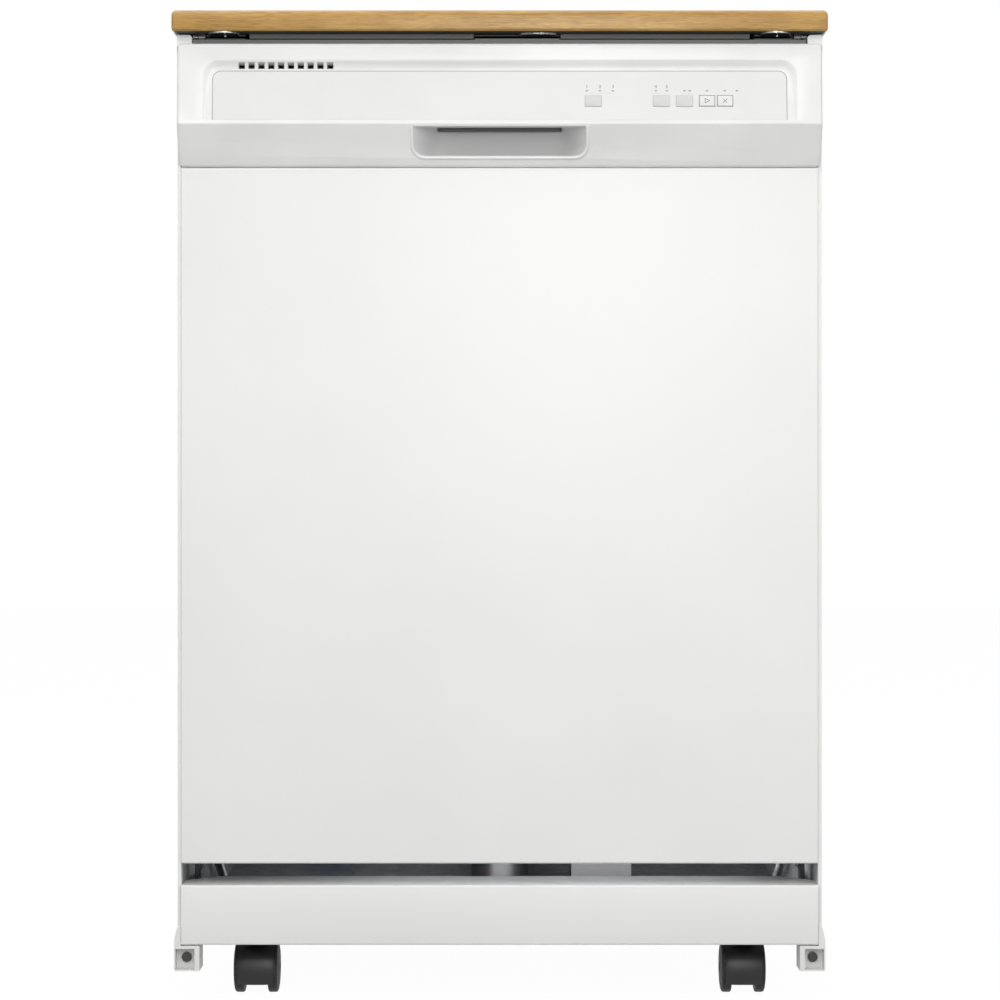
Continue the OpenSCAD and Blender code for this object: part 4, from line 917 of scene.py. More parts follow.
@dataclass
class TopGap:
    """What shows between worktop and console: brackets, their washers and bolts, the rail and the caps."""

    # Each washer's place in X, its half width and its half depth.
    side_washer: Point = (260.0, 14.7, 14.0)
    mid_washer: Point = (36.4, 17.5, 6.0)
    washer_y: float = -321.5
    washer_t: float = 1.3
    washer_rim: float = 1.1
    stud_x: float = 38.8
    stud_ahead: float = 7.6
    cap_w: float = 14.4
    cap_gap: float = 0.6
    nut_l: float = 6.2
    nut_r: float = 2.9
    thread_l: float = 5.5
    thread_r: float = 2.6
    thread_depth: float = 0.5
    thread_turns: int = 6
    bolt_y: float = -318.0
    strips: tuple[Pair, ...] = ((-236.0, -24.5), (57.5, 236.0))
    strip_y: Pair = (-319.6, -318.4)
    strip_h: float = 4.4

    def washer(self, sketch: Sketch, x: float, radius: float, deep: float, top: float) -> None:
        """Lays a washer whose rim catches the light, with a black disc of painted shade under it.

        Args:
            sketch: The sketch that gets it.
            x: The washer's middle.
            radius: Its half width.
            deep: Its half depth.
            top: The height of the surface that it lies against.
        """
        foot = top - self.washer_t
        # The middle ring is a black disc under the washer: painted shade.
        rim, middle = (0.0, foot, top - 0.02, 0), (self.washer_rim, foot - 0.3, top - 0.4, 1)
        for inset, low, high, paint in (rim, middle):
            outline = [(x + (radius - inset) * u, self.washer_y + (deep - inset) * v)
                       for u, v in circle(1.0, 48)]
            sketch.prism(Axis.Z, outline, (low, high), paint)

    def bolt(self, sketch: Sketch, side: int, start: float, z: float) -> None:
        """Builds a threaded bolt and its nut, which point inwards from a corner cap.

        Args:
            sketch: The sketch that gets them.
            side: -1 for the left and 1 for the right.
            start: How far from the middle the thread starts.
            z: The bolt's height.
        """
        thread = []
        for i in range(self.thread_turns):
            crest = start - self.thread_l * i / self.thread_turns
            root = crest - self.thread_l / self.thread_turns / 2
            thread += [(side * crest, self.thread_r), (side * root, self.thread_r - self.thread_depth)]
        sketch.turned(Axis.X, (self.bolt_y, z), thread, steps=16)
        face = start - self.thread_l
        nut = [(side * face, self.nut_r), (side * (face - self.nut_l), self.nut_r)]
        sketch.turned(Axis.X, (self.bolt_y, z), nut, steps=6)

    def build(self) -> None:
        """Dresses the gap's nodes and adds its washers, its bolts and the strip behind them."""
        dress("worktop_brackets", BLACK_STEEL, 0.6)
        # The caps' brighter white is painted light.
        dress("corner_caps", CAP_ABS_PAINTED_LIGHT, 0.5)
        # The rail's dark grey is painted shade.
        dress("front_top_rail", RAIL_PAINTED_SHADE, 0.4)
        dress("latch_strike", ZINC_PLATE, 0.4)
        top = extent("worktop_brackets")[1][2]
        middle = (extent("front_top_rail")[1][2] + top) / 2
        start = extent("corner_caps")[1][0] - self.cap_w - self.cap_gap
        sketch = Sketch()
        for side in (-1, 1):
            x, radius, deep = self.side_washer
            self.washer(sketch, side * x, radius, deep, top)
            rivet = [(self.washer_y - 3.5, 0.4), (self.washer_y - 3.0, 1.0), (self.washer_y - 2.0, 1.1)]
            sketch.turned(Axis.Y, (side * x + 1.4, top - 2.6), rivet, 16)
        self.washer(sketch, *self.mid_washer, top)
        stud = [(top - 2.4, 0.5), (top - 2.0, 1.3), (top - 0.1, 1.3)]
        sketch.turned(Axis.Z, (self.stud_x, self.washer_y - self.stud_ahead), stud, 20)
        for side in (-1, 1):
            self.bolt(sketch, side, start, middle)
        # The strips take the rail's dark grey of painted shade.
        for strip in self.strips:
            sketch.block(strip, self.strip_y, (top - self.strip_h, top - 0.1), soften=0.2, paint=2)
        sketch.place("bracket_washers_and_bolts", "cabinet", ZINC_PLATE, BLACK_STEEL, RAIL_PAINTED_SHADE, smooth=25.0,
                     slot="bare_steel")


# ---- Console ----

@dataclass
class Recess:
    """The console's recessed panel: its floor leans back from the ridge and carries the film."""

    low: float = 831.6
    floor_top: float = 879.2
    face_top: float = 888.5
    floor_half: float = 271.4
    face_half: float = 279.2
    floor_y: float = -332.9
    lean: float = math.radians(6.0)
    corner_r: float = 9.0
    steps: int = 8

    def y(self, z: float, lift: float = 0.0) -> float:
        """Gives the floor's depth at a height, moved out of the floor by a lift."""
        return self.floor_y + (z - self.low) * math.tan(self.lean) - lift

    def cutter(self) -> Sketch:
        """Gives the closed shape that cuts the recess.

        Returns:
            Rings round the floor, up the sloped sides, over the face's edge and in front of it.
        """
        sketch = Sketch()
        face = CONSOLE_FACE.y
        mouth = (self.face_half + 2.4, self.face_top + 2.2, self.corner_r + 7.0)
        # Each ring's half width, top and corner radius, and its depth at a height.
        sides: tuple[tuple[float, float, float, Callable[[float], float]], ...] = (
            (self.floor_half, self.floor_top, self.corner_r, self.y),
            (self.face_half - 3.2, self.face_top - 3.8, self.corner_r + 3.5,
             lambda z: max(face(z) + 1.5, self.y(z) - 1.4)),
            (self.face_half - 0.8, self.face_top - 0.9, self.corner_r + 5.0, lambda z: face(z) + 0.35),
            (*mouth, lambda z: face(z) - 0.25),
            (*mouth, lambda z: IN_FRONT),
        )
        rings = []
        for half, top, radius, depth in sides:
            height = top - self.low
            outline = rounded(2 * half, height, (0.3, radius, radius, 0.3), self.steps,
                              (0.0, self.low + height / 2))
            rings.append([(x, depth(z), z) for x, z in outline])
        sketch.loft(rings)
        return sketch


@dataclass
class Face:
    """The console's front profile: a slanted band, a small ridge and a face that leans back."""

    bottom: float = 790.4
    ridge_z: float = 828.1
    ridge_y: float = -334.2
    lip_z: float = 831.4
    face_y: float = -333.3
    top_y: float = -330.0
    top: float = 904.1
    band_foot_y: float = -317.7
    top_r: float = 2.0
    # Heights between its ends at which the band and the face get a row of points.
    band_rows: tuple[float, ...] = (800.0, 812.0, 822.0)
    face_rows: tuple[float, ...] = (850.0, 870.0)

    def y(self, z: float) -> float:
        """Gives the face's depth at a height above the ridge."""
        share = (z - self.lip_z) / (self.top - self.top_r - self.lip_z)
        return self.face_y + share * (self.top_y - self.face_y)

    def band_y(self, z: float) -> float:
        """Gives the band's depth at a height below the ridge."""
        share = (self.ridge_z - z) / (self.ridge_z - self.bottom)
        return self.ridge_y + share * (self.band_foot_y - self.ridge_y)

    def profile(self, back: float) -> list[tuple[float, float, float, float]]:
        """Gives the outline from the back's foot round the front to the back's top.

        Args:
            back: The depth at which the outline ends.

        Returns:
            Y, Z and the way that each point moves where the console's ends are rounded.
        """
        points = [(back, self.bottom, 0.0, 1.0), (self.band_foot_y + 1.2, self.bottom, 0.3, 1.0)]
        points += [(self.band_foot_y + 0.3, self.bottom + 0.3, 0.7, 0.7),
                   (self.band_foot_y - 0.4, self.bottom + 1.5, 1.0, 0.3)]
        for z in (*self.band_rows, self.ridge_z - 1.6):
            points.append((self.band_y(z), z, 1.0, 0.0))
        points += [(self.ridge_y + 0.15, self.ridge_z - 0.4, 1.0, 0.0),
                   (self.ridge_y + 0.05, self.ridge_z + 0.5, 1.0, 0.0),
                   (self.ridge_y + 0.3, self.ridge_z + 1.6, 1.0, 0.0),
                   (self.face_y, self.lip_z, 1.0, 0.0)]
        for z in (*self.face_rows, self.top - self.top_r):
            points.append((self.y(z), z, 1.0, 0.0))
        for sin, cos in quarter(5)[1:]:
            points.append((self.top_y + self.top_r * (1 - cos), self.top - self.top_r * (1 - sin), cos, -sin))
        points.append((back, self.top, 0.0, -1.0))
        return points


CONSOLE_FACE = Face()
RECESS = Recess()


@dataclass
class Pocket:
    """The handle pocket in the band: a scoop with a flat roof, in which the latch paddle's slot opens."""

    half: float = 81.9
    low: float = 798.6
    roof: float = 825.9
    back_half: float = 50.0
    back_low: float = 801.0
    corner_r: float = 12.0
    rim_r: float = 2.2
    # Depths behind the band, each with the share of the rim's flare that is left there.
    flares: tuple[Pair, ...] = ((-9.0, 0.35), (-0.6, 0.3), (0.2, 0.12), (1.0, 0.03), (1.9, 0.0))
    steps: int = 12
    slot_half: float = 59.0
    slot: Pair = (-321.2, -303.6)
    lip_r: float = 1.9
    lip_out: float = 0.8
    depth: float = 27.6
    # How far the back stands more upright than the band, the depth at which it is so, and the
    # distance under the roof of the line that it turns about.
    upright: float = 0.1
    upright_from: float = 20.0
    upright_drop: float = 8.0
    slot_top: float = 839.1
    wall: float = 2.0

    def rings(self, grow: float) -> list[list[Point]]:
        """Gives the scoop's sections from its rim to its back wall.

        Args:
            grow: How far every wall stands outside the scoop.

        Returns:
            The sections.
        """
        rings = [self.section(0.0, lift, grow, flare * self.rim_r * 4) for lift, flare in self.flares]
        start = self.flares[-1][0]
        for i in range(1, self.steps + 1):
            share = i / self.steps
            depth = start + (grow + self.depth - start) * math.sin(QUARTER * share)
            rings.append(self.section(share, depth, grow))
        return rings

    def section(self, share: float, depth: float, grow: float, flare: float = 0.0) -> list[Point]:
        """Gives one section of the scoop.

        Args:
            share: How far its walls have closed in, from 0 at the rim to 1 at the back.
            depth: How far it lies behind the band.
            grow: How far its walls stand outside the scoop.
            flare: How far its sides and foot open further at the rim.

        Returns:
            The section's points.
        """
        half = self.half + share * (self.back_half - self.half) + grow + flare
        low = self.low + share * (self.back_low - self.low) - grow - flare
        roof = self.roof + grow
        radius = self.corner_r + grow
        outline = rounded(2 * half, roof - low, (radius, 2.0, 2.0, radius), 8, (0.0, (roof + low) / 2))
        upright = self.upright * min(1.0, max(0.0, depth / self.upright_from))
        level = CONSOLE_FACE.band_y(self.roof - self.upright_drop) * upright
        return [(x, CONSOLE_FACE.band_y(z) * (1 - upright) + level + depth, z) for x, z in outline]

    def lip(self) -> Sketch:
        """Gives the bead along the rim's sides and foot.

        Returns:
            A round bead that stands a little proud of the band.
        """
        out, end = self.lip_out, self.half + self.lip_out
        outline = rounded(2 * end, self.roof - self.low + out, (self.corner_r, 0.1, 0.1, self.corner_r), 10,
                          (0.0, (self.roof + self.low - out) / 2))
        start = min(range(len(outline)), key=lambda i: (round(-outline[i][1], 3), outline[i][0]))
        path = [(x, z) for x, z in outline[start:] + outline[:start] if z < self.roof - 0.5]
        points = [(-end, self.roof - 0.6), *path, (end, self.roof - 0.6)]
        sketch = Sketch()
        sketch.tube([(x, CONSOLE_FACE.band_y(z) + out, z) for x, z in points], self.lip_r, 12, round_end=True)
        return sketch


@dataclass
class Vents:
    """The row of steam vents in the recess's upper slope: each ramps in above a dark mouth."""

    count: int = 10
    centre: float = -201.0
    pitch: float = 9.25
    width: float = 6.0
    mouth: Pair = (880.4, 885.1)
    ramp_top: float = 886.7
    ramp_depth: float = 6.0
    back: Pair = (-327.0, -317.0)

    def backing(self) -> Sketch:
        """Gives the rib behind the slope that the ramps are cut into.

        Returns:
            The rib.
        """
        half = self.count * self.pitch / 2 + 2.0
        sketch = Sketch()
        sketch.block((self.centre - half, self.centre + half), self.back,
                     (self.mouth[0] - 1.0, self.ramp_top + 3.0), soften=0.0)
        return sketch

    def cutter(self) -> Sketch:
        """Gives the prisms that cut the vents.

        Returns:
            A prism for each vent.
        """
        sketch = Sketch()
        face = CONSOLE_FACE.y
        low, high = self.mouth
        behind = self.back[1] + 1.0
        outline = [(IN_FRONT, low), (behind, low), (behind, high), (face(high) + self.ramp_depth, high),
                   (face(self.ramp_top) + 0.3, self.ramp_top), (IN_FRONT, self.ramp_top)]
        for i in range(self.count):
            x = self.centre + (i - (self.count - 1) / 2) * self.pitch
            sketch.prism(Axis.X, outline, (x - self.width / 2, x + self.width / 2))
        return sketch


@dataclass
class Console:
    """The moulded console shell with its recess, pocket, slot and vents."""

    half: float = 303.5
    rear_half: float = 301.2
    joint_y: float = -313.5
    rear_y: float = -266.6
    wall: float = 2.5
    end_r: float = 3.6
    end_turns: tuple[float, ...] = (0.0, 0.3, 0.6, 0.9, 1.2, QUARTER)
    backing_z: Pair = (829.0, 901.0)
    backing_skin: float = 0.8
    backing_margin: float = 3.0
    box_margin: float = 6.0
    box_y: float = -331.0
    # The bore of the paddle's pin: its Y and Z, its radius and how far it goes past the slot.
    pin: Pair = (-310.0, 834.1)
    pin_r: float = 1.7
    pin_reach: float = 4.0
    # The wells' play round their keys, and from where to where they go off the recess's floor.
    well_gap: float = 0.3
    well_span: Pair = (-4.0, 1.5)
    tongue_half: float = 300.0
    tongue_y: Pair = (-316.0, -306.0)

    def shell(self) -> Item:
        """Builds the shell's front, rounded at both ends and still solid.

        Returns:
            The piece that the rest is carved into.
        """
        sketch = Sketch()
        profile = CONSOLE_FACE.profile(self.joint_y)
        ends = [(self.half - self.end_r * (1 - math.cos(a)), self.end_r * (1 - math.sin(a)))
                for a in self.end_turns]
        stations = [(-x, inset) for x, inset in ends] + [(x, inset) for x, inset in reversed(ends)]
        sketch.loft([[(x, y + my * inset, z + mz * inset) for y, z, my, mz in profile]
                     for x, inset in stations])
        return sketch.place("console_shell", "", CONSOLE_ABS)

    def rear(self) -> Sketch:
        """Gives the block behind the joint, a little narrower than the front.

        Returns:
            The block.
        """
        sketch = Sketch()
        sketch.block((-self.rear_half, self.rear_half), (self.joint_y - 2.0, self.rear_y),
                     (CONSOLE_FACE.bottom + 0.05, CONSOLE_FACE.top - 0.05), soften=0.0)
        return sketch

    def hollow(self) -> Sketch:
        """Gives the space inside the shell.

        Returns:
            The space, one wall inside the shell.
        """
        w = self.wall
        top, bottom = CONSOLE_FACE.top, CONSOLE_FACE.bottom
        back = self.rear_y + 2
        outline = [(back, bottom + w), (CONSOLE_FACE.band_foot_y + 1.4 * w, bottom + w),
                   (CONSOLE_FACE.ridge_y + w, CONSOLE_FACE.ridge_z), (CONSOLE_FACE.top_y + w, top - 6),
                   (CONSOLE_FACE.top_y + 3 * w, top - w), (back, top - w)]
        sketch = Sketch()
        sketch.prism(Axis.X, outline, (-self.rear_half + w, self.rear_half - w))
        return sketch

    def backing(self) -> Sketch:
        """Gives the slab that stands behind the recess's floor.

        Returns:
            The slab.
        """
        low, high = self.backing_z
        edge = [(CONSOLE_FACE.y(z) + self.backing_skin, z) for z in (low, high)]
        edge += [(RECESS.y(z) + self.wall, z) for z in (high, low)]
        reach = RECESS.face_half + self.backing_margin
        sketch = Sketch()
        sketch.loft([[(x, y, z) for y, z in edge] for x in (-reach, reach)])
        return sketch

    def scoop(self, pocket: Pocket, grow: float, first: int) -> Sketch:
        """Gives the handle pocket's scoop as a solid.

        Args:
            pocket: The handle pocket.
            grow: How far its walls stand outside the scoop.
            first: The ring that it starts with.

        Returns:
            The scoop.
        """
        sketch = Sketch()
        sketch.loft(pocket.rings(grow)[first:])
        return sketch

    def slot_box(self, pocket: Pocket) -> Sketch:
        """Gives the block of walls round the slot over the pocket.

        Args:
            pocket: The handle pocket.

        Returns:
            The block, still without the slot.
        """
        half = pocket.slot_half + self.box_margin
        sketch = Sketch()
        sketch.block((-half, half), (self.box_y, pocket.slot[1] + pocket.wall),
                     (pocket.roof + 0.5, pocket.slot_top + pocket.wall), soften=0.0)
        return sketch

    def slot(self, pocket: Pocket) -> Sketch:
        """Gives the slot and the bore of the paddle's pin.

        Args:
            pocket: The handle pocket.

        Returns:
            The slot's space.
        """
        reach = pocket.slot_half + self.pin_reach
        sketch = Sketch()
        sketch.block((-pocket.slot_half, pocket.slot_half), pocket.slot,
                     (pocket.roof - 1.5, pocket.slot_top), soften=0.0)
        sketch.turned(Axis.X, self.pin, [(-reach, self.pin_r), (reach, self.pin_r)], 24)
        return sketch

    def well(self, key: "Key") -> Sketch:
        """Gives the well that a key moves in.

        Args:
            key: The key.

        Returns:
            The well's space.
        """
        outline = rounded(key.width + self.well_gap, key.height + self.well_gap, [0.9] * 4, 3)
        sketch = Sketch()
        sketch.loft([key.points(outline, lift) for lift in self.well_span])
        return sketch

    def paint_scoop_shade(self, shell: Item, pocket: Pocket) -> None:
        """Gives the faces inside the handle pocket the finish that greys with depth as painted shade.

        Args:
            shell: The carved console.
            pocket: The handle pocket.
        """
        shell.data.materials.append(SCOOP_ABS_PAINTED_SHADE.material())
        for face in shell.data.polygons:
            x, y, z = (value / MM for value in face.center)
            inside = abs(x) < pocket.half and pocket.low < z < pocket.roof + 0.2
            if inside and y > CONSOLE_FACE.band_y(z) + 0.4:
                face.material_index = len(shell.data.materials) - 1

    def build(self, pocket: Pocket, vents: Vents, keys: Sequence["Key"]) -> None:
        """Builds the console.

        Args:
            pocket: The handle pocket.
            vents: The vents.
            keys: The keys, which move in wells of their own.
        """
        shell = self.shell()
        steps = [("rear", self.rear(), Carving.JOIN), ("hollow", self.hollow(), Carving.CUT),
                 ("backing", self.backing(), Carving.JOIN), ("vent_rib", vents.backing(), Carving.JOIN),
                 ("bowl", self.scoop(pocket, pocket.wall, 3), Carving.JOIN),
                 ("slot_box", self.slot_box(pocket), Carving.JOIN), ("recess", RECESS.cutter(), Carving.CUT),
                 ("scoop", self.scoop(pocket, 0.0, 0), Carving.CUT), ("slot", self.slot(pocket), Carving.CUT),
                 ("vents", vents.cutter(), Carving.CUT)]
        steps += [(f"well_{key.number}", self.well(key), Carving.CUT) for key in keys]
        for name, sketch, carving in steps:
            carve(shell, sketch.place(name, ""), carving)
        smoothed(shell, 24.0)
        self.paint_scoop_shade(shell, pocket)
        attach(shell, "door")
        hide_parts("console")
        log.info("piece %s on door, %d faces", shell.name, len(shell.data.polygons))
        pocket.lip().place("pocket_lip", "door", CONSOLE_ABS, slot="console_white")
        tongue = Sketch()
        tongue.block((-self.tongue_half, self.tongue_half), self.tongue_y,
                     (CONSOLE_FACE.bottom - 0.65, CONSOLE_FACE.bottom + 0.3), soften=0.1)
        tongue.place("console_tongue", "door", CONSOLE_ABS, slot="console_white")


# ---- What the console carries ----

class Mark(Enum):
    """The sign on a key."""

    NONE = "none"
    START = "triangle"
    CANCEL = "cross"


# The strokes of each sign, measured from the key's middle.
SIGNS: dict[Mark, tuple[tuple[Pair, ...], ...]] = {
    Mark.NONE: (),
    Mark.START: (((-1.8, -2.1), (2.4, 0.0), (-1.8, 2.1), (-1.8, -2.1)),),
    Mark.CANCEL: (((-1.8, -1.8), (1.8, 1.8)), ((-1.8, 1.8), (1.8, -1.8))),
}


@dataclass
class Key:
    """One control key: a soft-cornered cap that stands a little proud of the film."""

    number: int
    x: float
    width: float
    mark: Mark = Mark.NONE
    height: float = 10.9
    middle_z: float = 849.9
    corner_r: float = 0.8
    # How far the film's face stands off the recess's floor, and the key's face off the film.
    film: float = 0.5
    proud: float = 0.45
    foot: float = -2.0
    frame_inset: float = 0.45
    frame_w: float = 0.42
    sign_w: float = 0.5

    def points(self, outline: Iterable[Pair], lift: float) -> list[Point]:
        """Puts a drawing on the recess's floor, centred on the key.

        Args:
            outline: The drawing.
            lift: How far it stands off the floor.

        Returns:
            The drawing's points.
        """
        found = []
        for u, v in outline:
            z = self.middle_z + v * math.cos(RECESS.lean)
            found.append((self.x + u, RECESS.y(z, lift), z))
        return found

    def line(self, sketch: Sketch, path: Sequence[Pair], width: float) -> None:
        """Draws a printed stroke on the key's face.

        Args:
            sketch: The sketch that gets it.
            path: The stroke's points; the same first and last point closes it.
            width: The stroke's width.
        """
        for (u0, v0), (u1, v1) in zip(path, path[1:]):
            length = math.hypot(u1 - u0, v1 - v0)
            du, dv = (u1 - u0) / length * width / 2, (v1 - v0) / length * width / 2
            corners = [(u0 - du - dv, v0 - dv + du), (u0 - du + dv, v0 - dv - du),
                       (u1 + du + dv, v1 + dv - du), (u1 + du - dv, v1 + dv + du)]
            face = self.film + self.proud
            sketch.loft([self.points(corners, face - 0.02), self.points(corners, face + 0.05)], paint=1)

    def build(self) -> None:
        """Builds the key and its printed frame and sign."""
        sketch = Sketch()
        face = self.film + self.proud
        rings = []
        for inset, lift in ((0.0, self.foot), (0.0, face - 0.3), (0.09, face - 0.09), (0.3, face)):
            outline = rounded(self.width - 2 * inset, self.height - 2 * inset, [self.corner_r - inset] * 4, 3)
            rings.append(self.points(outline, lift))
        sketch.loft(rings)
        if self.mark is not Mark.NONE:
            u, v = self.width / 2 - self.frame_inset, self.height / 2 - self.frame_inset
            self.line(sketch, [(-u, -v), (u, -v), (u, v), (-u, v), (-u, -v)], self.frame_w)
        for stroke in SIGNS[self.mark]:
            self.line(sketch, stroke, self.sign_w)
        finish = KEY_GREY if self.mark is Mark.NONE else KEY_WHITE
        name = f"pad_{self.number}"
        sketch.place(f"key_{self.number}", name, finish, PRINT_INK, smooth=50.0, replaces=[name],
                     slot="pad_grey")


@dataclass
class Overlay:
    """The printed film on the recess's floor, with a grey edge of painted shade, guide lines and plain
    numbers.
    """

    half: float = 270.2
    low: float = 831.7
    top: float = 878.6
    corner_r: float = 8.0
    # The width of the film's grey edge of painted shade.
    line_w: float = 0.7
    thick: float = 0.35
    window: float = 0.15
    light_z: float = 859.4
    lights: tuple[float, ...] = (82.0, 94.2, 106.4, 146.8, 157.1, 173.6, 178.7, 194.7, 211.6, 222.9)
    lens_half: Pair = (1.35, 0.6)
    groups: tuple[Pair, ...] = ((80.0, 108.5), (145.0, 159.0), (171.5, 181.0))
    group_drop: Pair = (2.4, 2.1)
    numbered: int = 5
    number_h: float = 4.4
    number_t: float = 0.03
    number_rise: float = 2.6

    def outline(self, inset: float, lift: float) -> list[Point]:
        """Gives the film's outline.

        Args:
            inset: How far it is drawn in at the sides and the top; the foot stays where it is.
            lift: How far it stands off the recess's floor.

        Returns:
            The outline's points.
        """
        height = self.top - inset - self.low
        radius = self.corner_r - inset
        points = rounded(2 * (self.half - inset), height, (0.2, radius, radius, 0.2), 8,
                         (0.0, self.low + height / 2))
        return [(x, RECESS.y(z, lift), z) for x, z in points]

    def build(self, keys: Sequence[Key]) -> None:
        """Builds the film, its lines and its numbers.

        Args:
            keys: The keys that the film has windows for.
        """
        sketch = Sketch()
        edges = ((0.0, 0.0), (0.0, self.thick), (self.line_w, self.thick), (self.line_w, self.thick - 0.02))
        sketch.loft([self.outline(inset, lift) for inset, lift in edges])
        film = sketch.place("control_film", "", OVERLAY_FILM, FILM_EDGE_PAINTED_SHADE)
        holes = Sketch()
        for key in keys:
            drawing = rounded(key.width + 2 * self.window, key.height + 2 * self.window, [0.9] * 4, 3)
            holes.loft([key.points(drawing, -1.0), key.points(drawing, 2.0)])
        carve(film, holes.place("windows", ""))
        # The faces along the film's sides and top take the grey of painted shade.
        for face in film.data.polygons:
            x, z = abs(face.center.x) / MM, face.center.z / MM
            rim = x > self.half - self.line_w - 0.05 or z > self.top - self.line_w - 0.05
            corner = math.hypot(x - (self.half - self.corner_r), z - (self.top - self.corner_r))
            outside = x > self.half - self.corner_r and z > self.top - self.corner_r
            if rim or (outside and corner > self.corner_r - self.line_w - 0.1):
                face.material_index = 1
        smoothed(film, 30.0)
        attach(film, "door")
        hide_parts("control_overlay")
        self.lenses()
        self.guides()
        self.numbers()

    def lenses(self) -> None:
        """Builds the small oval lenses of the indicator lights."""
        sketch = Sketch()
        for x in self.lights:
            drawing = [(x + self.lens_half[0] * u, self.light_z + self.lens_half[1] * v)
                       for u, v in circle(1.0, 16)]
            sketch.loft([[(u, RECESS.y(v, lift), v) for u, v in drawing]
                         for lift in (-1.5, self.thick + 0.12)])
        sketch.place("light_lenses", "door", LENS, replaces=["indicator_lights"], slot="light_lens")

    def guides(self) -> None:
        """Builds the pale lines that tie each group of lights to its key."""
        sketch = Sketch()
        low, high = (self.light_z - drop for drop in self.group_drop)
        for left, right in self.groups:
            corners = [(left, low), (right, low), (right, high), (left, high)]
            sketch.loft([[(u, RECESS.y(v, lift), v) for u, v in corners]
                         for lift in (self.thick - 0.02, self.thick + 0.04)])
        sketch.place("guide_lines", "door", PALE_INK, slot="overlay_grey")

    def numbers(self) -> None:
        """Builds plain numbers over the lights."""
        for i, x in enumerate(self.lights[:self.numbered]):
            text = bpy.data.curves.new(f"number_{i + 1}", "FONT")
            text.body = str(i + 1)
            text.size = self.number_h * MM
            text.align_x = "CENTER"
            text.extrude = self.number_t * MM
            number = bpy.data.objects.new(f"number_{i + 1}", text)
            bpy.context.scene.collection.objects.link(number)
            z = self.light_z + self.number_rise
            number.location = Vector((x, RECESS.y(z, self.thick + 0.02), z)) * MM
            number.rotation_euler = (QUARTER - RECESS.lean, 0.0, 0.0)
            text.materials.append(PRINT_INK.material())
            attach(number, "door")


KEYS = (Key(1, 88.0, 15.8), Key(2, 152.0, 15.8), Key(3, 173.6, 15.8), Key(4, 194.8, 15.2, Mark.START),
        Key(5, 211.8, 15.2, Mark.CANCEL))


# ---- Door ----

@dataclass
class DoorSkin:
    """The door's outer sheet: a pan with folded edges, and the side walls behind them."""

    side_r: float = 1.2
    top_r: float = 3.0
    foot_r: float = 1.8
    corner_r: float = 1.2
    corner_steps: int = 3
    steps: int = 6
    sheet: float = 1.0
    pan_depth: float = 20.0
    wall_inset: float = 2.0
    flange_x: float = 290.5
    flange_z: float = 175.0

    def ring(self, tuck: float, turn: float, y: float) -> list[Point]:
        """Gives the pan's outline where its folds have turned by a share.

        Args:
            tuck: How far each edge is drawn in, as a share of its fold's radius.
            turn: How far each edge lies behind the face, as a share of its fold's radius.
            y: The depth that the folds are measured from.

        Returns:
            The outline's points.
        """
        low, high = extent("door_panel")
        bottom, top = low[2] + self.foot_r * tuck, high[2] - self.top_r * tuck
        half = high[0] - self.side_r * tuck
        outline = rounded(2 * half, top - bottom, [self.corner_r] * 4, self.corner_steps,
                          (0.0, (top + bottom) / 2))
        edges = (self.foot_r, self.side_r, self.top_r, self.side_r, self.foot_r)
        points = []
        for i, (x, z) in enumerate(outline):
            corner, step = divmod(i, self.corner_steps + 1)
            share = step / self.corner_steps
            radius = edges[corner] * (1 - share) + edges[corner + 1] * share
            points.append((x, y + radius * turn, z))
        return points

    def build(self) -> None:
        """Builds the pan and the walls behind it."""
        low, high = extent("door_panel")
        sketch = Sketch()
        rings = [self.ring(1 - sin, 1 - cos, low[1]) for sin, cos in quarter(self.steps)]
        rings.append(self.ring(0.0, 0.0, low[1] + self.pan_depth))
        share = self.sheet / self.side_r
        rings += [self.ring(share, 0.0, low[1] + self.pan_depth), self.ring(share, 1.0, low[1] + self.sheet),
                  self.ring(1.0, 0.0, low[1] + self.sheet)]
        sketch.loft(rings)
        back, top = high[1], high[2] - self.wall_inset
        for side in (-1, 1):
            edge = side * high[0]
            sketch.block(rising(side * (high[0] - self.sheet), edge), (low[1] + self.pan_depth - 1, back),
                         (low[2] + self.wall_inset, top), soften=0.2)
            sketch.block(rising(side * self.flange_x, edge), (back - self.sheet, back), (self.flange_z, top),
                         soften=0.2)
        sketch.place("door_skin", "door", WHITE_STEEL, smooth=24.0, replaces=["door_panel"],
                     slot="white_steel")


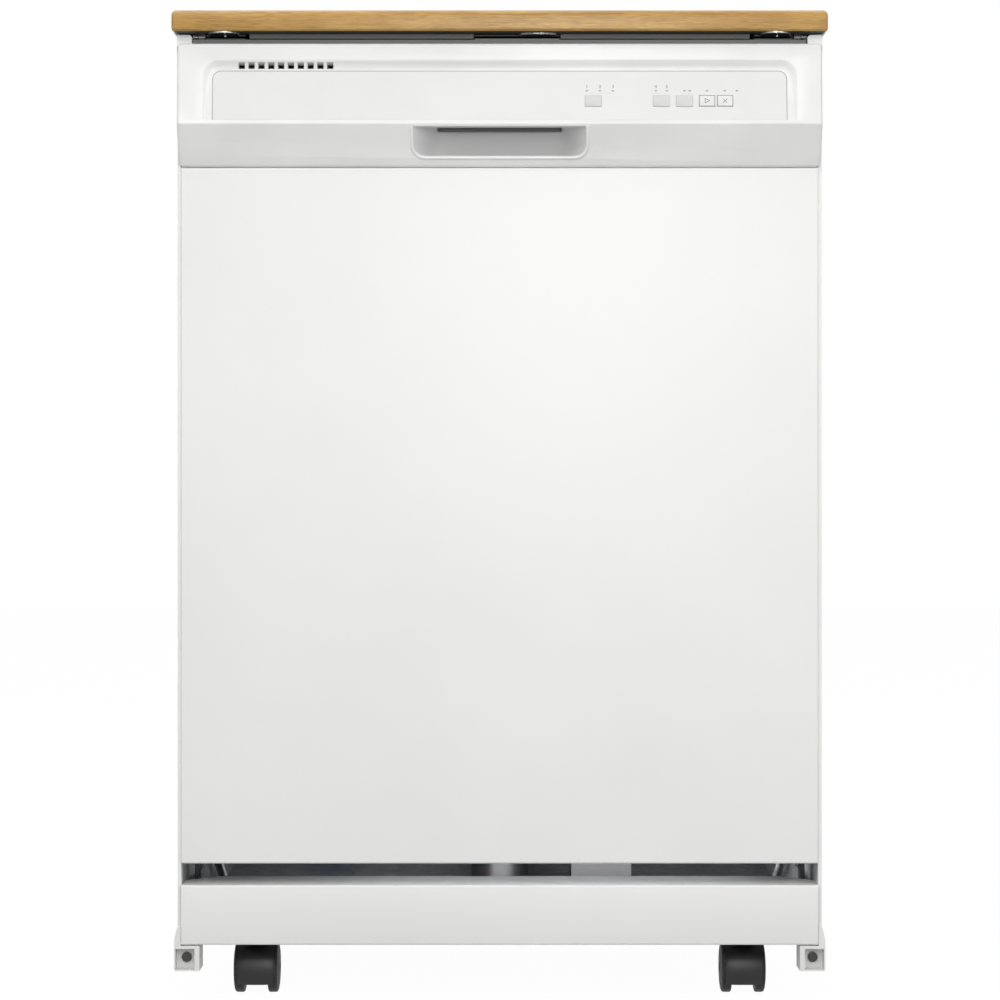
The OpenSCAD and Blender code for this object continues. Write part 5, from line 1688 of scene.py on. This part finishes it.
@dataclass
class ToePanel:
    """The kick panel: sheet folded back over the top, where it narrows towards its rear corners."""

    sheet: float = 1.0
    fold_r: float = 1.3
    foot_r: float = 1.6
    flange: float = 26.0
    lip: Pair = (301.35, 302.1)
    lip_y: Pair = (-312.8, -302.0)
    lip_z: Pair = (62.0, 900.0)
    side_ledge: float = 34.0
    corner: float = 30.0

    def section(self, back: float) -> list[Pair]:
        """Gives the folded sheet's section.

        Args:
            back: The depth at which the ledge ends.

        Returns:
            The section's points, Y and Z.
        """
        low, high = extent("toe_panel")
        front, top = low[1], high[2]
        inner = self.fold_r - self.sheet
        points = [(front + self.sheet, low[2])]
        points += [(front + self.foot_r * (1 - sin), low[2] + self.foot_r * (1 - cos))
                   for sin, cos in quarter(4)]
        points += [(front + self.fold_r * (1 - cos), top - self.fold_r * (1 - sin))
                   for sin, cos in quarter(6)]
        points += [(back, top), (back, top - self.sheet)]
        points += [(front + self.sheet + inner * (1 - cos), top - self.sheet - inner * (1 - sin))
                   for sin, cos in reversed(quarter(6))]
        return points

    def build(self) -> None:
        """Builds the folded sheet and the flange at its foot."""
        low, high = extent("toe_panel")
        half, inner = high[0], high[0] - self.corner
        sketch = Sketch()
        ledge = low[1] + self.side_ledge
        stations = ((-half, ledge), (-inner, high[1]), (inner, high[1]), (half, ledge))
        sketch.loft([[(x, y, z) for y, z in self.section(back)] for x, back in stations])
        sketch.block((-inner, inner), (low[1] + self.sheet - 0.1, low[1] + self.flange),
                     (low[2], low[2] + self.sheet), soften=0.3)
        sketch.place("toe_sheet", "cabinet", WHITE_STEEL, smooth=24.0, replaces=["toe_panel"],
                     slot="white_steel")
        lips = Sketch()
        for side in (-1, 1):
            lips.block(rising(side * self.lip[0], side * self.lip[1]), self.lip_y, self.lip_z, soften=0.0)
        lips.place("side_seam_lips", "cabinet", WHITE_STEEL, slot="white_steel")


# ---- Casters ----

@dataclass
class Caster:
    """A twin-wheel caster: domed wheels with rounded treads under a barrel-shaped hood."""

    x: float
    axle_y: float
    fork_body: str
    wheel_body: str
    label: str
    trail: float = 15.0
    radius: float = 24.0
    wheel: Pair = (11.35, 21.15)
    hood_half: float = 17.5
    hood_r: float = 27.0
    hood_wall: float = 2.0
    # The angles at which the hood starts and ends, counted from the front.
    sweep: Pair = (-30.0, 204.0)
    steps: int = 28
    web_half: float = 9.6
    web_foot: float = -11.5
    stem_r: float = 9.5
    stem: Pair = (49.5, 54.0)
    pin_r: float = 5.0
    pin: Pair = (50.0, 74.0)
    axle_r: float = 3.0
    axle_half: float = 21.0

    def hood(self, sketch: Sketch) -> None:
        """Builds the barrel-shaped hood, its web, its stem and the axle.

        Args:
            sketch: The sketch that gets them.
        """
        rings = []
        start, end = (math.radians(angle) for angle in self.sweep)
        inner = self.hood_r - self.hood_wall
        for i in range(self.steps + 1):
            angle = start + (end - start) * i / self.steps
            taper = min(1.0, 6 * min(i, self.steps - i) / self.steps + 0.75)
            half = self.hood_half * (0.97 + 0.03 * taper)
            section = []
            for u in (-1.0, -0.85, -0.5, 0.0, 0.5, 0.85, 1.0):
                section.append((u * half, self.hood_r - 1.3 * abs(u) ** 5))
            section += [(half, inner), (-half, inner)]
            rings.append([(self.x + u, self.axle_y - r * math.cos(angle), self.radius + r * math.sin(angle))
                          for u, r in section])
        sketch.loft(rings)
        web = [(self.axle_y + u, self.radius + v) for u, v in circle(inner + 0.5, 40) if v > self.web_foot]
        sketch.prism(Axis.X, web, (self.x - self.web_half, self.x + self.web_half), soften=0.0)
        foot, top = self.stem
        swivel = (self.x, self.axle_y - self.trail)
        stem = [(foot, self.stem_r), (top - 0.6, self.stem_r), (top, self.stem_r - 0.6)]
        sketch.turned(Axis.Z, swivel, stem, 32)
        sketch.turned(Axis.Z, swivel, [(z, self.pin_r) for z in self.pin], 24)
        axle = [(self.x + side * self.axle_half, self.axle_r) for side in (-1, 1)]
        sketch.turned(Axis.X, (self.axle_y, self.radius), axle, 24)

    def wheels(self, sketch: Sketch) -> None:
        """Builds both wheels: a rounded tread, a domed face and a sunk hub ring.

        Args:
            sketch: The sketch that gets them.
        """
        near, far = self.wheel
        r = self.radius
        profile = [(near, 3.1), (near, r - 1.6), (near + 0.3, r - 0.7), (near + 1.0, r - 0.15),
                   (near + 1.8, r), (far - 3.0, r), (far - 1.9, r - 0.25), (far - 1.0, r - 0.9),
                   (far - 0.4, r - 2.2), (far, r - 4.6), (far + 0.1, r - 6.3), (far - 0.5, r - 6.9),
                   (far + 0.3, r - 9.0), (far + 0.6, 8.0), (far + 0.7, 5.2), (far + 0.1, 4.6),
                   (far + 0.1, 0.6)]
        for side in (-1, 1):
            points = [(self.x + side * along, radius) for along, radius in profile]
            sketch.turned(Axis.X, (self.axle_y, r), points, 72)

    def build(self, fork_node: str, wheel_node: str) -> None:
        """Builds the caster.

        Args:
            fork_node: The CAD node of its hood, or "" where another piece replaces it.
            wheel_node: The CAD node of its wheels.
        """
        hood = Sketch()
        self.hood(hood)
        hood.place(f"caster_hood_{self.label}", self.fork_body, BLACK_NYLON, smooth=35.0,
                   replaces=[fork_node] if fork_node else [], slot="dark_plastic")
        wheels = Sketch()
        self.wheels(wheels)
        wheels.place(f"caster_tread_{self.label}", self.wheel_body, TREAD, smooth=35.0, replaces=[wheel_node],
                     slot="caster_black")


# ---- Racks ----

@dataclass
class Tines:
    """Rows of upright tines in a rack, each bent out of the wire that it stands on."""

    floor_z: float
    rows: tuple[float, ...]
    stations: tuple[float, ...]
    height: float
    lean: float
    radius: float = 1.7
    rack_wire_r: float = 2.0
    overhang: float = 6.0

    def build(self, name: str, body: str) -> None:
        """Builds the tines and the rails that carry them.

        Args:
            name: The piece's name.
            body: The rack's body.
        """
        sketch = Sketch()
        foot = self.floor_z + self.rack_wire_r + self.radius
        ends = (self.stations[0] - self.overhang, self.stations[-1] + self.overhang)
        for x in self.rows:
            sketch.tube([(x, y, foot) for y in ends], self.radius)
            for y in self.stations:
                path = [(x, y, foot), (x + 0.25 * self.lean, y, foot + 0.35 * self.height),
                        (x + self.lean, y, foot + self.height)]
                sketch.tube(path, self.radius, 8, round_end=True)
        sketch.place(name, body, NYLON_DIP, slot="rack_nylon")


@dataclass
class Basket:
    """The silverware basket: open lattice walls, cell dividers and a carrying handle."""

    x: Pair = (-105.0, 105.0)
    y: Pair = (-206.0, -136.0)
    z: Pair = (224.3, 338.0)
    bar: float = 2.0
    edge_r: float = 0.3
    cells: int = 4
    floor_bars: int = 7
    post_x: float = 33.0
    post_half: float = 5.0

    def bar_at(self, span: Pair, i: int, count: int) -> Pair:
        """Gives where one bar of an evenly spaced row starts and ends."""
        low = span[0] + (span[1] - span[0] - self.bar) * i / count
        return low, low + self.bar

    def wall(self, sketch: Sketch, axis: Axis, at: float, bars: int, rails: int) -> None:
        """Builds a lattice wall.

        Args:
            sketch: The sketch that gets it.
            axis: The axis that the wall runs along, X or Y.
            at: Where the wall's low side stands on the other one.
            bars: The number of spaces between upright bars.
            rails: The number of spaces between level bars.
        """
        deep = (at, at + self.bar)
        length = self.x if axis is Axis.X else self.y
        steps = [(self.bar_at(length, i, bars), self.z) for i in range(bars + 1)]
        steps += [(length, self.bar_at(self.z, i, rails)) for i in range(rails + 1)]
        for run, rise in steps:
            x, y = (run, deep) if axis is Axis.X else (deep, run)
            sketch.block(x, y, rise, self.edge_r)

    def build(self) -> None:
        """Builds the walls, the floor's bars and the handle."""
        sketch = Sketch()
        middle = (self.y[0] + self.y[1]) / 2
        for y in (self.y[0], middle - self.bar / 2, self.y[1] - self.bar):
            self.wall(sketch, Axis.X, y, 16, 9)
        pitch = (self.x[1] - self.x[0] - self.bar) / self.cells
        for i in range(self.cells + 1):
            self.wall(sketch, Axis.Y, self.x[0] + pitch * i, 6, 9 if i in (0, self.cells) else 5)
        for i in range(self.floor_bars):
            y = self.bar_at(self.y, i, self.floor_bars - 1)
            sketch.block(self.x, y, (self.z[0], self.z[0] + self.bar), self.edge_r)
        top = self.z[1]
        for side in (-1, 1):
            post = side * self.post_x
            sketch.block((post - self.post_half, post + self.post_half), (middle - 1.5, middle + 1.5),
                         (top - 10, top + 30), 1.0)
        reach = self.post_x + self.post_half
        sketch.block((-reach, reach), (middle - 3.0, middle + 3.0), (top + 24, top + 32), 2.2)
        sketch.place("basket_lattice", "lower_rack", GREY_PP, replaces=["silverware_basket"],
                     slot="grey_plastic")


@dataclass
class SprayArm:
    """A spray arm: a crowned, tapered blade on a hub, with a row of jets on each side."""

    node: str
    length: float
    low: float
    hub: tuple[Pair, ...]
    width: float = 34.0
    thick: float = 10.0
    y: float = 10.4
    steps: int = 20
    jets: int = 5
    jet_margin: float = 26.0
    jet_y: float = 4.0

    def build(self) -> None:
        """Builds the blade, its hub and its jets."""
        sketch = Sketch()
        half, middle = self.length / 2, self.low + self.thick / 2
        rings = []
        for i in range(self.steps + 1):
            t = -1 + 2 * i / self.steps
            x = half * math.sin(t * QUARTER)
            # The blade narrows towards its tips and closes over the last few millimetres.
            end = math.sqrt(max(0.0, 1 - abs(t) ** 10))
            w = self.width / 2 * (0.62 + 0.38 * (1 - abs(t))) * max(end, 0.12)
            h = self.thick / 2 * max(end, 0.2)
            ring = []
            for u, v in circle(1.0, 20):
                ring.append((x, self.y + w * math.copysign(abs(u) ** 0.8, u),
                             middle + h * math.copysign(abs(v) ** 0.7, v)))
            rings.append(ring)
        sketch.loft(rings)
        sketch.turned(Axis.Z, (0.0, self.y), self.hub, 48)
        z = self.low + self.thick - 1.2
        jet = [(z, 3.4), (z + 1.2, 3.2), (z + 1.9, 2.2), (z + 1.9, 1.2), (z + 0.8, 1.0)]
        for side in (-1, 1):
            for i in range(1, self.jets + 1):
                x = side * (half - self.jet_margin) * i / self.jets
                sketch.turned(Axis.Z, (x, self.y + side * self.jet_y), jet, 20, paint=1)
        sketch.place(self.node + "_blade", self.node, GREY_PP, BLACK_NYLON, smooth=40.0, replaces=[self.node],
                     slot="grey_plastic")


# ---- Springs ----

@dataclass
class DoorSpring:
    """A door spring: a close-wound coil with a hook at each end."""

    side: int
    x: float = 287.5
    steps: int = 12
    coil_r: float = 4.2
    wire_r: float = 0.8
    hook_r: float = 4.0
    start: Pair = (-247.0, 171.0)
    end: Pair = (-60.0, 80.0)

    def build(self) -> None:
        """Builds the coil and its hooks."""
        a = Vector((self.side * self.x, *self.start))
        b = Vector((self.side * self.x, *self.end))
        axis = (b - a).normalized()
        out = Vector((1.0, 0.0, 0.0))
        up = axis.cross(out)
        reach = (b - a).length
        hook = 2 * self.hook_r + 4
        coil = reach - 2 * hook
        pitch = 2 * self.wire_r * 1.04
        count = int(coil / pitch) * self.steps
        curl = [1.5 * math.pi * i / self.steps for i in range(self.steps + 1)]
        path = [a + axis * self.hook_r * (1 - math.cos(t)) + up * self.hook_r * math.sin(t) for t in curl]
        for i in range(count + 1):
            angle = 2 * math.pi * i / self.steps
            along = hook + coil * i / count
            path.append(a + axis * along + self.coil_r * (math.cos(angle) * out + math.sin(angle) * up))
        path += [b - axis * self.hook_r * (1 - math.cos(t)) + up * self.hook_r * math.sin(t)
                 for t in reversed(curl)]
        sketch = Sketch()
        sketch.tube([tuple(p) for p in path], self.wire_r, 6)
        name = "left" if self.side < 0 else "right"
        spring = sketch.place(f"spring_coil_{name}", "", BLACK_STEEL, slot="bare_steel",
                              replaces=["door_springs"])
        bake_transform(spring)


# ---- Cabinet, tub and the rest of the carried-over nodes ----

@dataclass(frozen=True)
class Carried:
    """The finish and the edge radius of a CAD node that is shown as it is."""

    node: str
    finish: Finish
    edge: float = 0.0


CARRIED = (
    Carried("side_panel_left", WHITE_STEEL, 0.5), Carried("side_panel_right", WHITE_STEEL, 0.5),
    Carried("back_panel", GALVANISED, 0.4), Carried("storage_box", GREY_PP, 0.8),
    Carried("base_frame", GALVANISED, 0.5), Carried("corner_feet", FOOT_PP, 0.8),
    Carried("foot_screws", BLACK_STEEL, 0.4),
    Carried("tub", TUB_PP, 0.8), Carried("tub_gasket", SEAL_EPDM, 2.0), Carried("sound_felt", SOUND_FELT),
    Carried("sump", BLACK_NYLON, 0.5), Carried("filter", GREY_PP, 0.4),
    Carried("wash_pump", BLACK_NYLON, 1.0), Carried("drain_pump", BLACK_NYLON, 1.0),
    Carried("inlet_valve", BLUE_ACETAL, 0.6), Carried("inner_hoses", HOSE_EPDM),
    Carried("feed_tube", GREY_PP, 1.5), Carried("heater_element", HEATER_TUBE),
    Carried("rack_rails", STAINLESS, 0.5), Carried("hinge_brackets", BLACK_STEEL, 0.4),
    Carried("hinge_arms", ZINC_PLATE, 0.4), Carried("control_board", SOLDER_MASK),
    Carried("latch_assembly", BLACK_NYLON, 0.5), Carried("latch_paddle", GREY_NYLON, 0.5),
    Carried("door_liner", TUB_PP, 0.5), Carried("door_screws", ZINC_PLATE, 0.4),
    Carried("dispenser", GREY_PP, 0.8), Carried("dispenser_lid", GREY_PP, 0.8),
    Carried("rinse_aid_cap", BLUE_ACETAL, 0.6),
    Carried("upper_rack", NYLON_DIP), Carried("lower_rack", NYLON_DIP),
    Carried("rack_wheels_front", GREY_PP, 1.0), Carried("rack_wheels_rear", GREY_PP, 1.0),
    Carried("overfill_float", FOOT_PP, 1.2),
)


# ---- Studio ----

@dataclass
class Studio:
    """Plain soft light, a white floor and the photograph's level camera."""

    distance: float = 2.5
    eye_z: float = 0.4748
    view_width: float = 0.9453
    sensor: float = 36.0
    clip_end: float = 50.0
    camera_x: float = 0.0003
    door_y: float = -0.316
    sky: float = 0.72
    ground: float = 0.25
    floor_r: float = 9000.0
    floor_t: float = 20.0
    # How bright the floor is to the camera, and how much of that stands in for its real shade.
    glow: float = 1.10
    glow_share: float = 0.88

    def camera(self) -> None:
        """Sets the camera level with the middle of the door, as in the photograph."""
        data = bpy.data.cameras.new("camera")
        data.sensor_width = self.sensor
        data.lens = self.sensor * self.distance / self.view_width
        data.clip_end = self.clip_end
        camera = bpy.data.objects.new("camera", data)
        camera.location = (self.camera_x, self.door_y - self.distance, self.eye_z)
        camera.rotation_euler = (QUARTER, 0.0, 0.0)
        bpy.context.scene.collection.objects.link(camera)
        bpy.context.scene.camera = camera

    def lamp(self, name: str, place: Point, aim: Point, size: Pair, power: float) -> None:
        """Hangs one soft box.

        Args:
            name: The lamp's name.
            place: Where it hangs, in metres.
            aim: The point that it faces.
            size: Its width and height, in metres.
            power: Its power in watts.
        """
        data = bpy.data.lights.new(name, "AREA")
        data.shape = "RECTANGLE"
        data.size, data.size_y = size
        data.energy = power
        lamp = bpy.data.objects.new(name, data)
        lamp.location = place
        lamp.rotation_euler = (Vector(aim) - Vector(place)).to_track_quat("-Z", "Y").to_euler()
        bpy.context.scene.collection.objects.link(lamp)

    def looked_at(self, tree: Tree, path: bpy.types.Node) -> bpy.types.Node:
        """Gives 1 for rays of the camera and of glossy reflections, and 0 for the rest.

        Args:
            tree: The node tree.
            path: Its light path node.

        Returns:
            The node whose first output says so.
        """
        return add(tree, "Math", {"operation": "MAXIMUM"},
                   {0: path.outputs["Is Camera Ray"], 1: path.outputs["Is Glossy Ray"]})

    def world(self) -> None:
        """Lights the scene from all round, brighter from above, and shows plain white behind it."""
        world = bpy.data.worlds.new("studio")
        bpy.context.scene.world = world
        world.use_nodes = True
        tree = world.node_tree
        tree.nodes.clear()
        direction = add(tree, "TexCoord").outputs["Generated"]
        height = add(tree, "SeparateXYZ", links={"Vector": direction}).outputs["Z"]
        level = add(tree, "MapRange",
                    {"From Min": -1.0, "From Max": 1.0, "To Min": self.ground, "To Max": self.sky},
                    {"Value": height})
        light = add(tree, "Background", {"Color": linear("#FFFFFF")}, {"Strength": level.outputs["Result"]})
        seen = add(tree, "Background", {"Color": linear("#FFFFFF"), "Strength": 1.0})
        path = add(tree, "LightPath")
        shown = self.looked_at(tree, path)
        either = add(tree, "Math", {"operation": "MAXIMUM"},
                     {0: shown.outputs[0], 1: path.outputs["Is Transmission Ray"]})
        mixed = add(tree, "MixShader", links={0: either.outputs[0], 1: light.outputs[0], 2: seen.outputs[0]})
        add(tree, "OutputWorld", links={"Surface": mixed.outputs[0]})

    def floor(self) -> None:
        """Lays a white floor that shows the object's soft shadow."""
        sketch = Sketch()
        sketch.prism(Axis.Z, circle(self.floor_r, 64), (-self.floor_t, 0.0))
        floor = sketch.place("studio_floor", "")
        material = bpy.data.materials.new("white_seamless_floor")
        material.use_nodes = True
        tree = material.node_tree
        tree.nodes.clear()
        paper = add(tree, "TexNoise", {"Scale": 1.0, "Detail": 2.0}, {"Vector": real_space(tree, 3.0)})
        tone = add(tree, "ValToRGB", {"stops": [(0.3, "#9A9A9A"), (0.7, "#9E9E9E")]},
                   {"Fac": paper.outputs["Fac"]})
        matt = add(tree, "BsdfDiffuse", links={"Color": tone.outputs["Color"]})
        glow = add(tree, "Emission", {"Color": linear("#FFFFFF"), "Strength": self.glow})
        path = add(tree, "LightPath")
        shown = self.looked_at(tree, path)
        share = add(tree, "Math", {"operation": "MULTIPLY", 1: self.glow_share}, {0: shown.outputs[0]})
        mixed = add(tree, "MixShader", links={0: share.outputs[0], 1: matt.outputs[0], 2: glow.outputs[0]})
        add(tree, "OutputMaterial", links={"Surface": mixed.outputs[0]})
        floor.data.materials.append(material)

    def build(self) -> None:
        """Builds the camera, the floor and the lights."""
        self.camera()
        self.world()
        self.floor()
        self.lamp("key_soft_box", (-1.5, -2.6, 2.6), (0.0, -0.3, 0.5), (1.8, 1.8), 25.0)
        self.lamp("fill_soft_box", (1.9, -2.4, 1.6), (0.0, -0.3, 0.5), (1.6, 2.0), 14.0)
        self.lamp("front_soft_box", (0.15, -2.95, 1.1), (0.05, -0.3, 0.6), (0.6, 1.4), 20.0)
        self.lamp("top_soft_box", (0.0, -0.3, 3.0), (0.0, -0.1, 0.9), (2.2, 2.2), 23.0)
        self.lamp("base_glow", (0.05, -0.2, 0.085), (0.05, 0.1, 0.09), (0.36, 0.02), 1.1)
        bpy.context.scene.view_settings.view_transform = "Standard"


# The casters' axles, from the middle of the cabinet.
CASTER_X, CASTER_Y = 234.0, 261.0
# The places along Y where tines stand.
TINE_ROWS = tuple(-200.0 + 36.0 * i for i in range(12))


def main() -> None:
    """Builds every sub-assembly in order and reports its pieces."""
    logging.basicConfig(level=logging.INFO, format="%(name)s: %(message)s")
    Studio().build()
    Worktop().build()
    TopGap().build()
    Console().build(Pocket(), Vents(), KEYS)
    Overlay().build(KEYS)
    for key in KEYS:
        key.build()
    DoorSkin().build()
    ToePanel().build()
    for carried in CARRIED:
        dress(carried.node, carried.finish, carried.edge)
    for side, sign in (("left", -1), ("right", 1)):
        fork, wheels, rear = f"caster_fork_{side}", f"caster_wheels_{side}", f"rear_wheels_{side}"
        Caster(sign * CASTER_X, -CASTER_Y, fork, wheels, f"front_{side}").build(fork, wheels)
        Caster(sign * CASTER_X, CASTER_Y, "cabinet", rear, f"rear_{side}").build("rear_caster_forks", rear)
        DoorSpring(sign).build()
    lower = Tines(222.0, (-180.0, -110.0, 60.0, 140.0), TINE_ROWS[3:], height=70.0, lean=14.0)
    lower.build("lower_rack_tines", "lower_rack")
    upper = Tines(575.0, (-170.0, -60.0, 60.0, 170.0), TINE_ROWS, height=42.0, lean=8.0)
    upper.build("upper_rack_tines", "upper_rack")
    Basket().build()
    SprayArm("lower_spray_arm", 466.0, 190.0,
             ((182.0, 17.0), (196.0, 17.2), (202.0, 15.0), (204.0, 10.0), (204.0, 0.6))).build()
    SprayArm("upper_spray_arm", 446.0, 525.3,
             ((520.3, 14.0), (536.0, 14.2), (541.0, 12.5), (542.5, 9.0))).build()


if __name__ == "__main__":
    main()
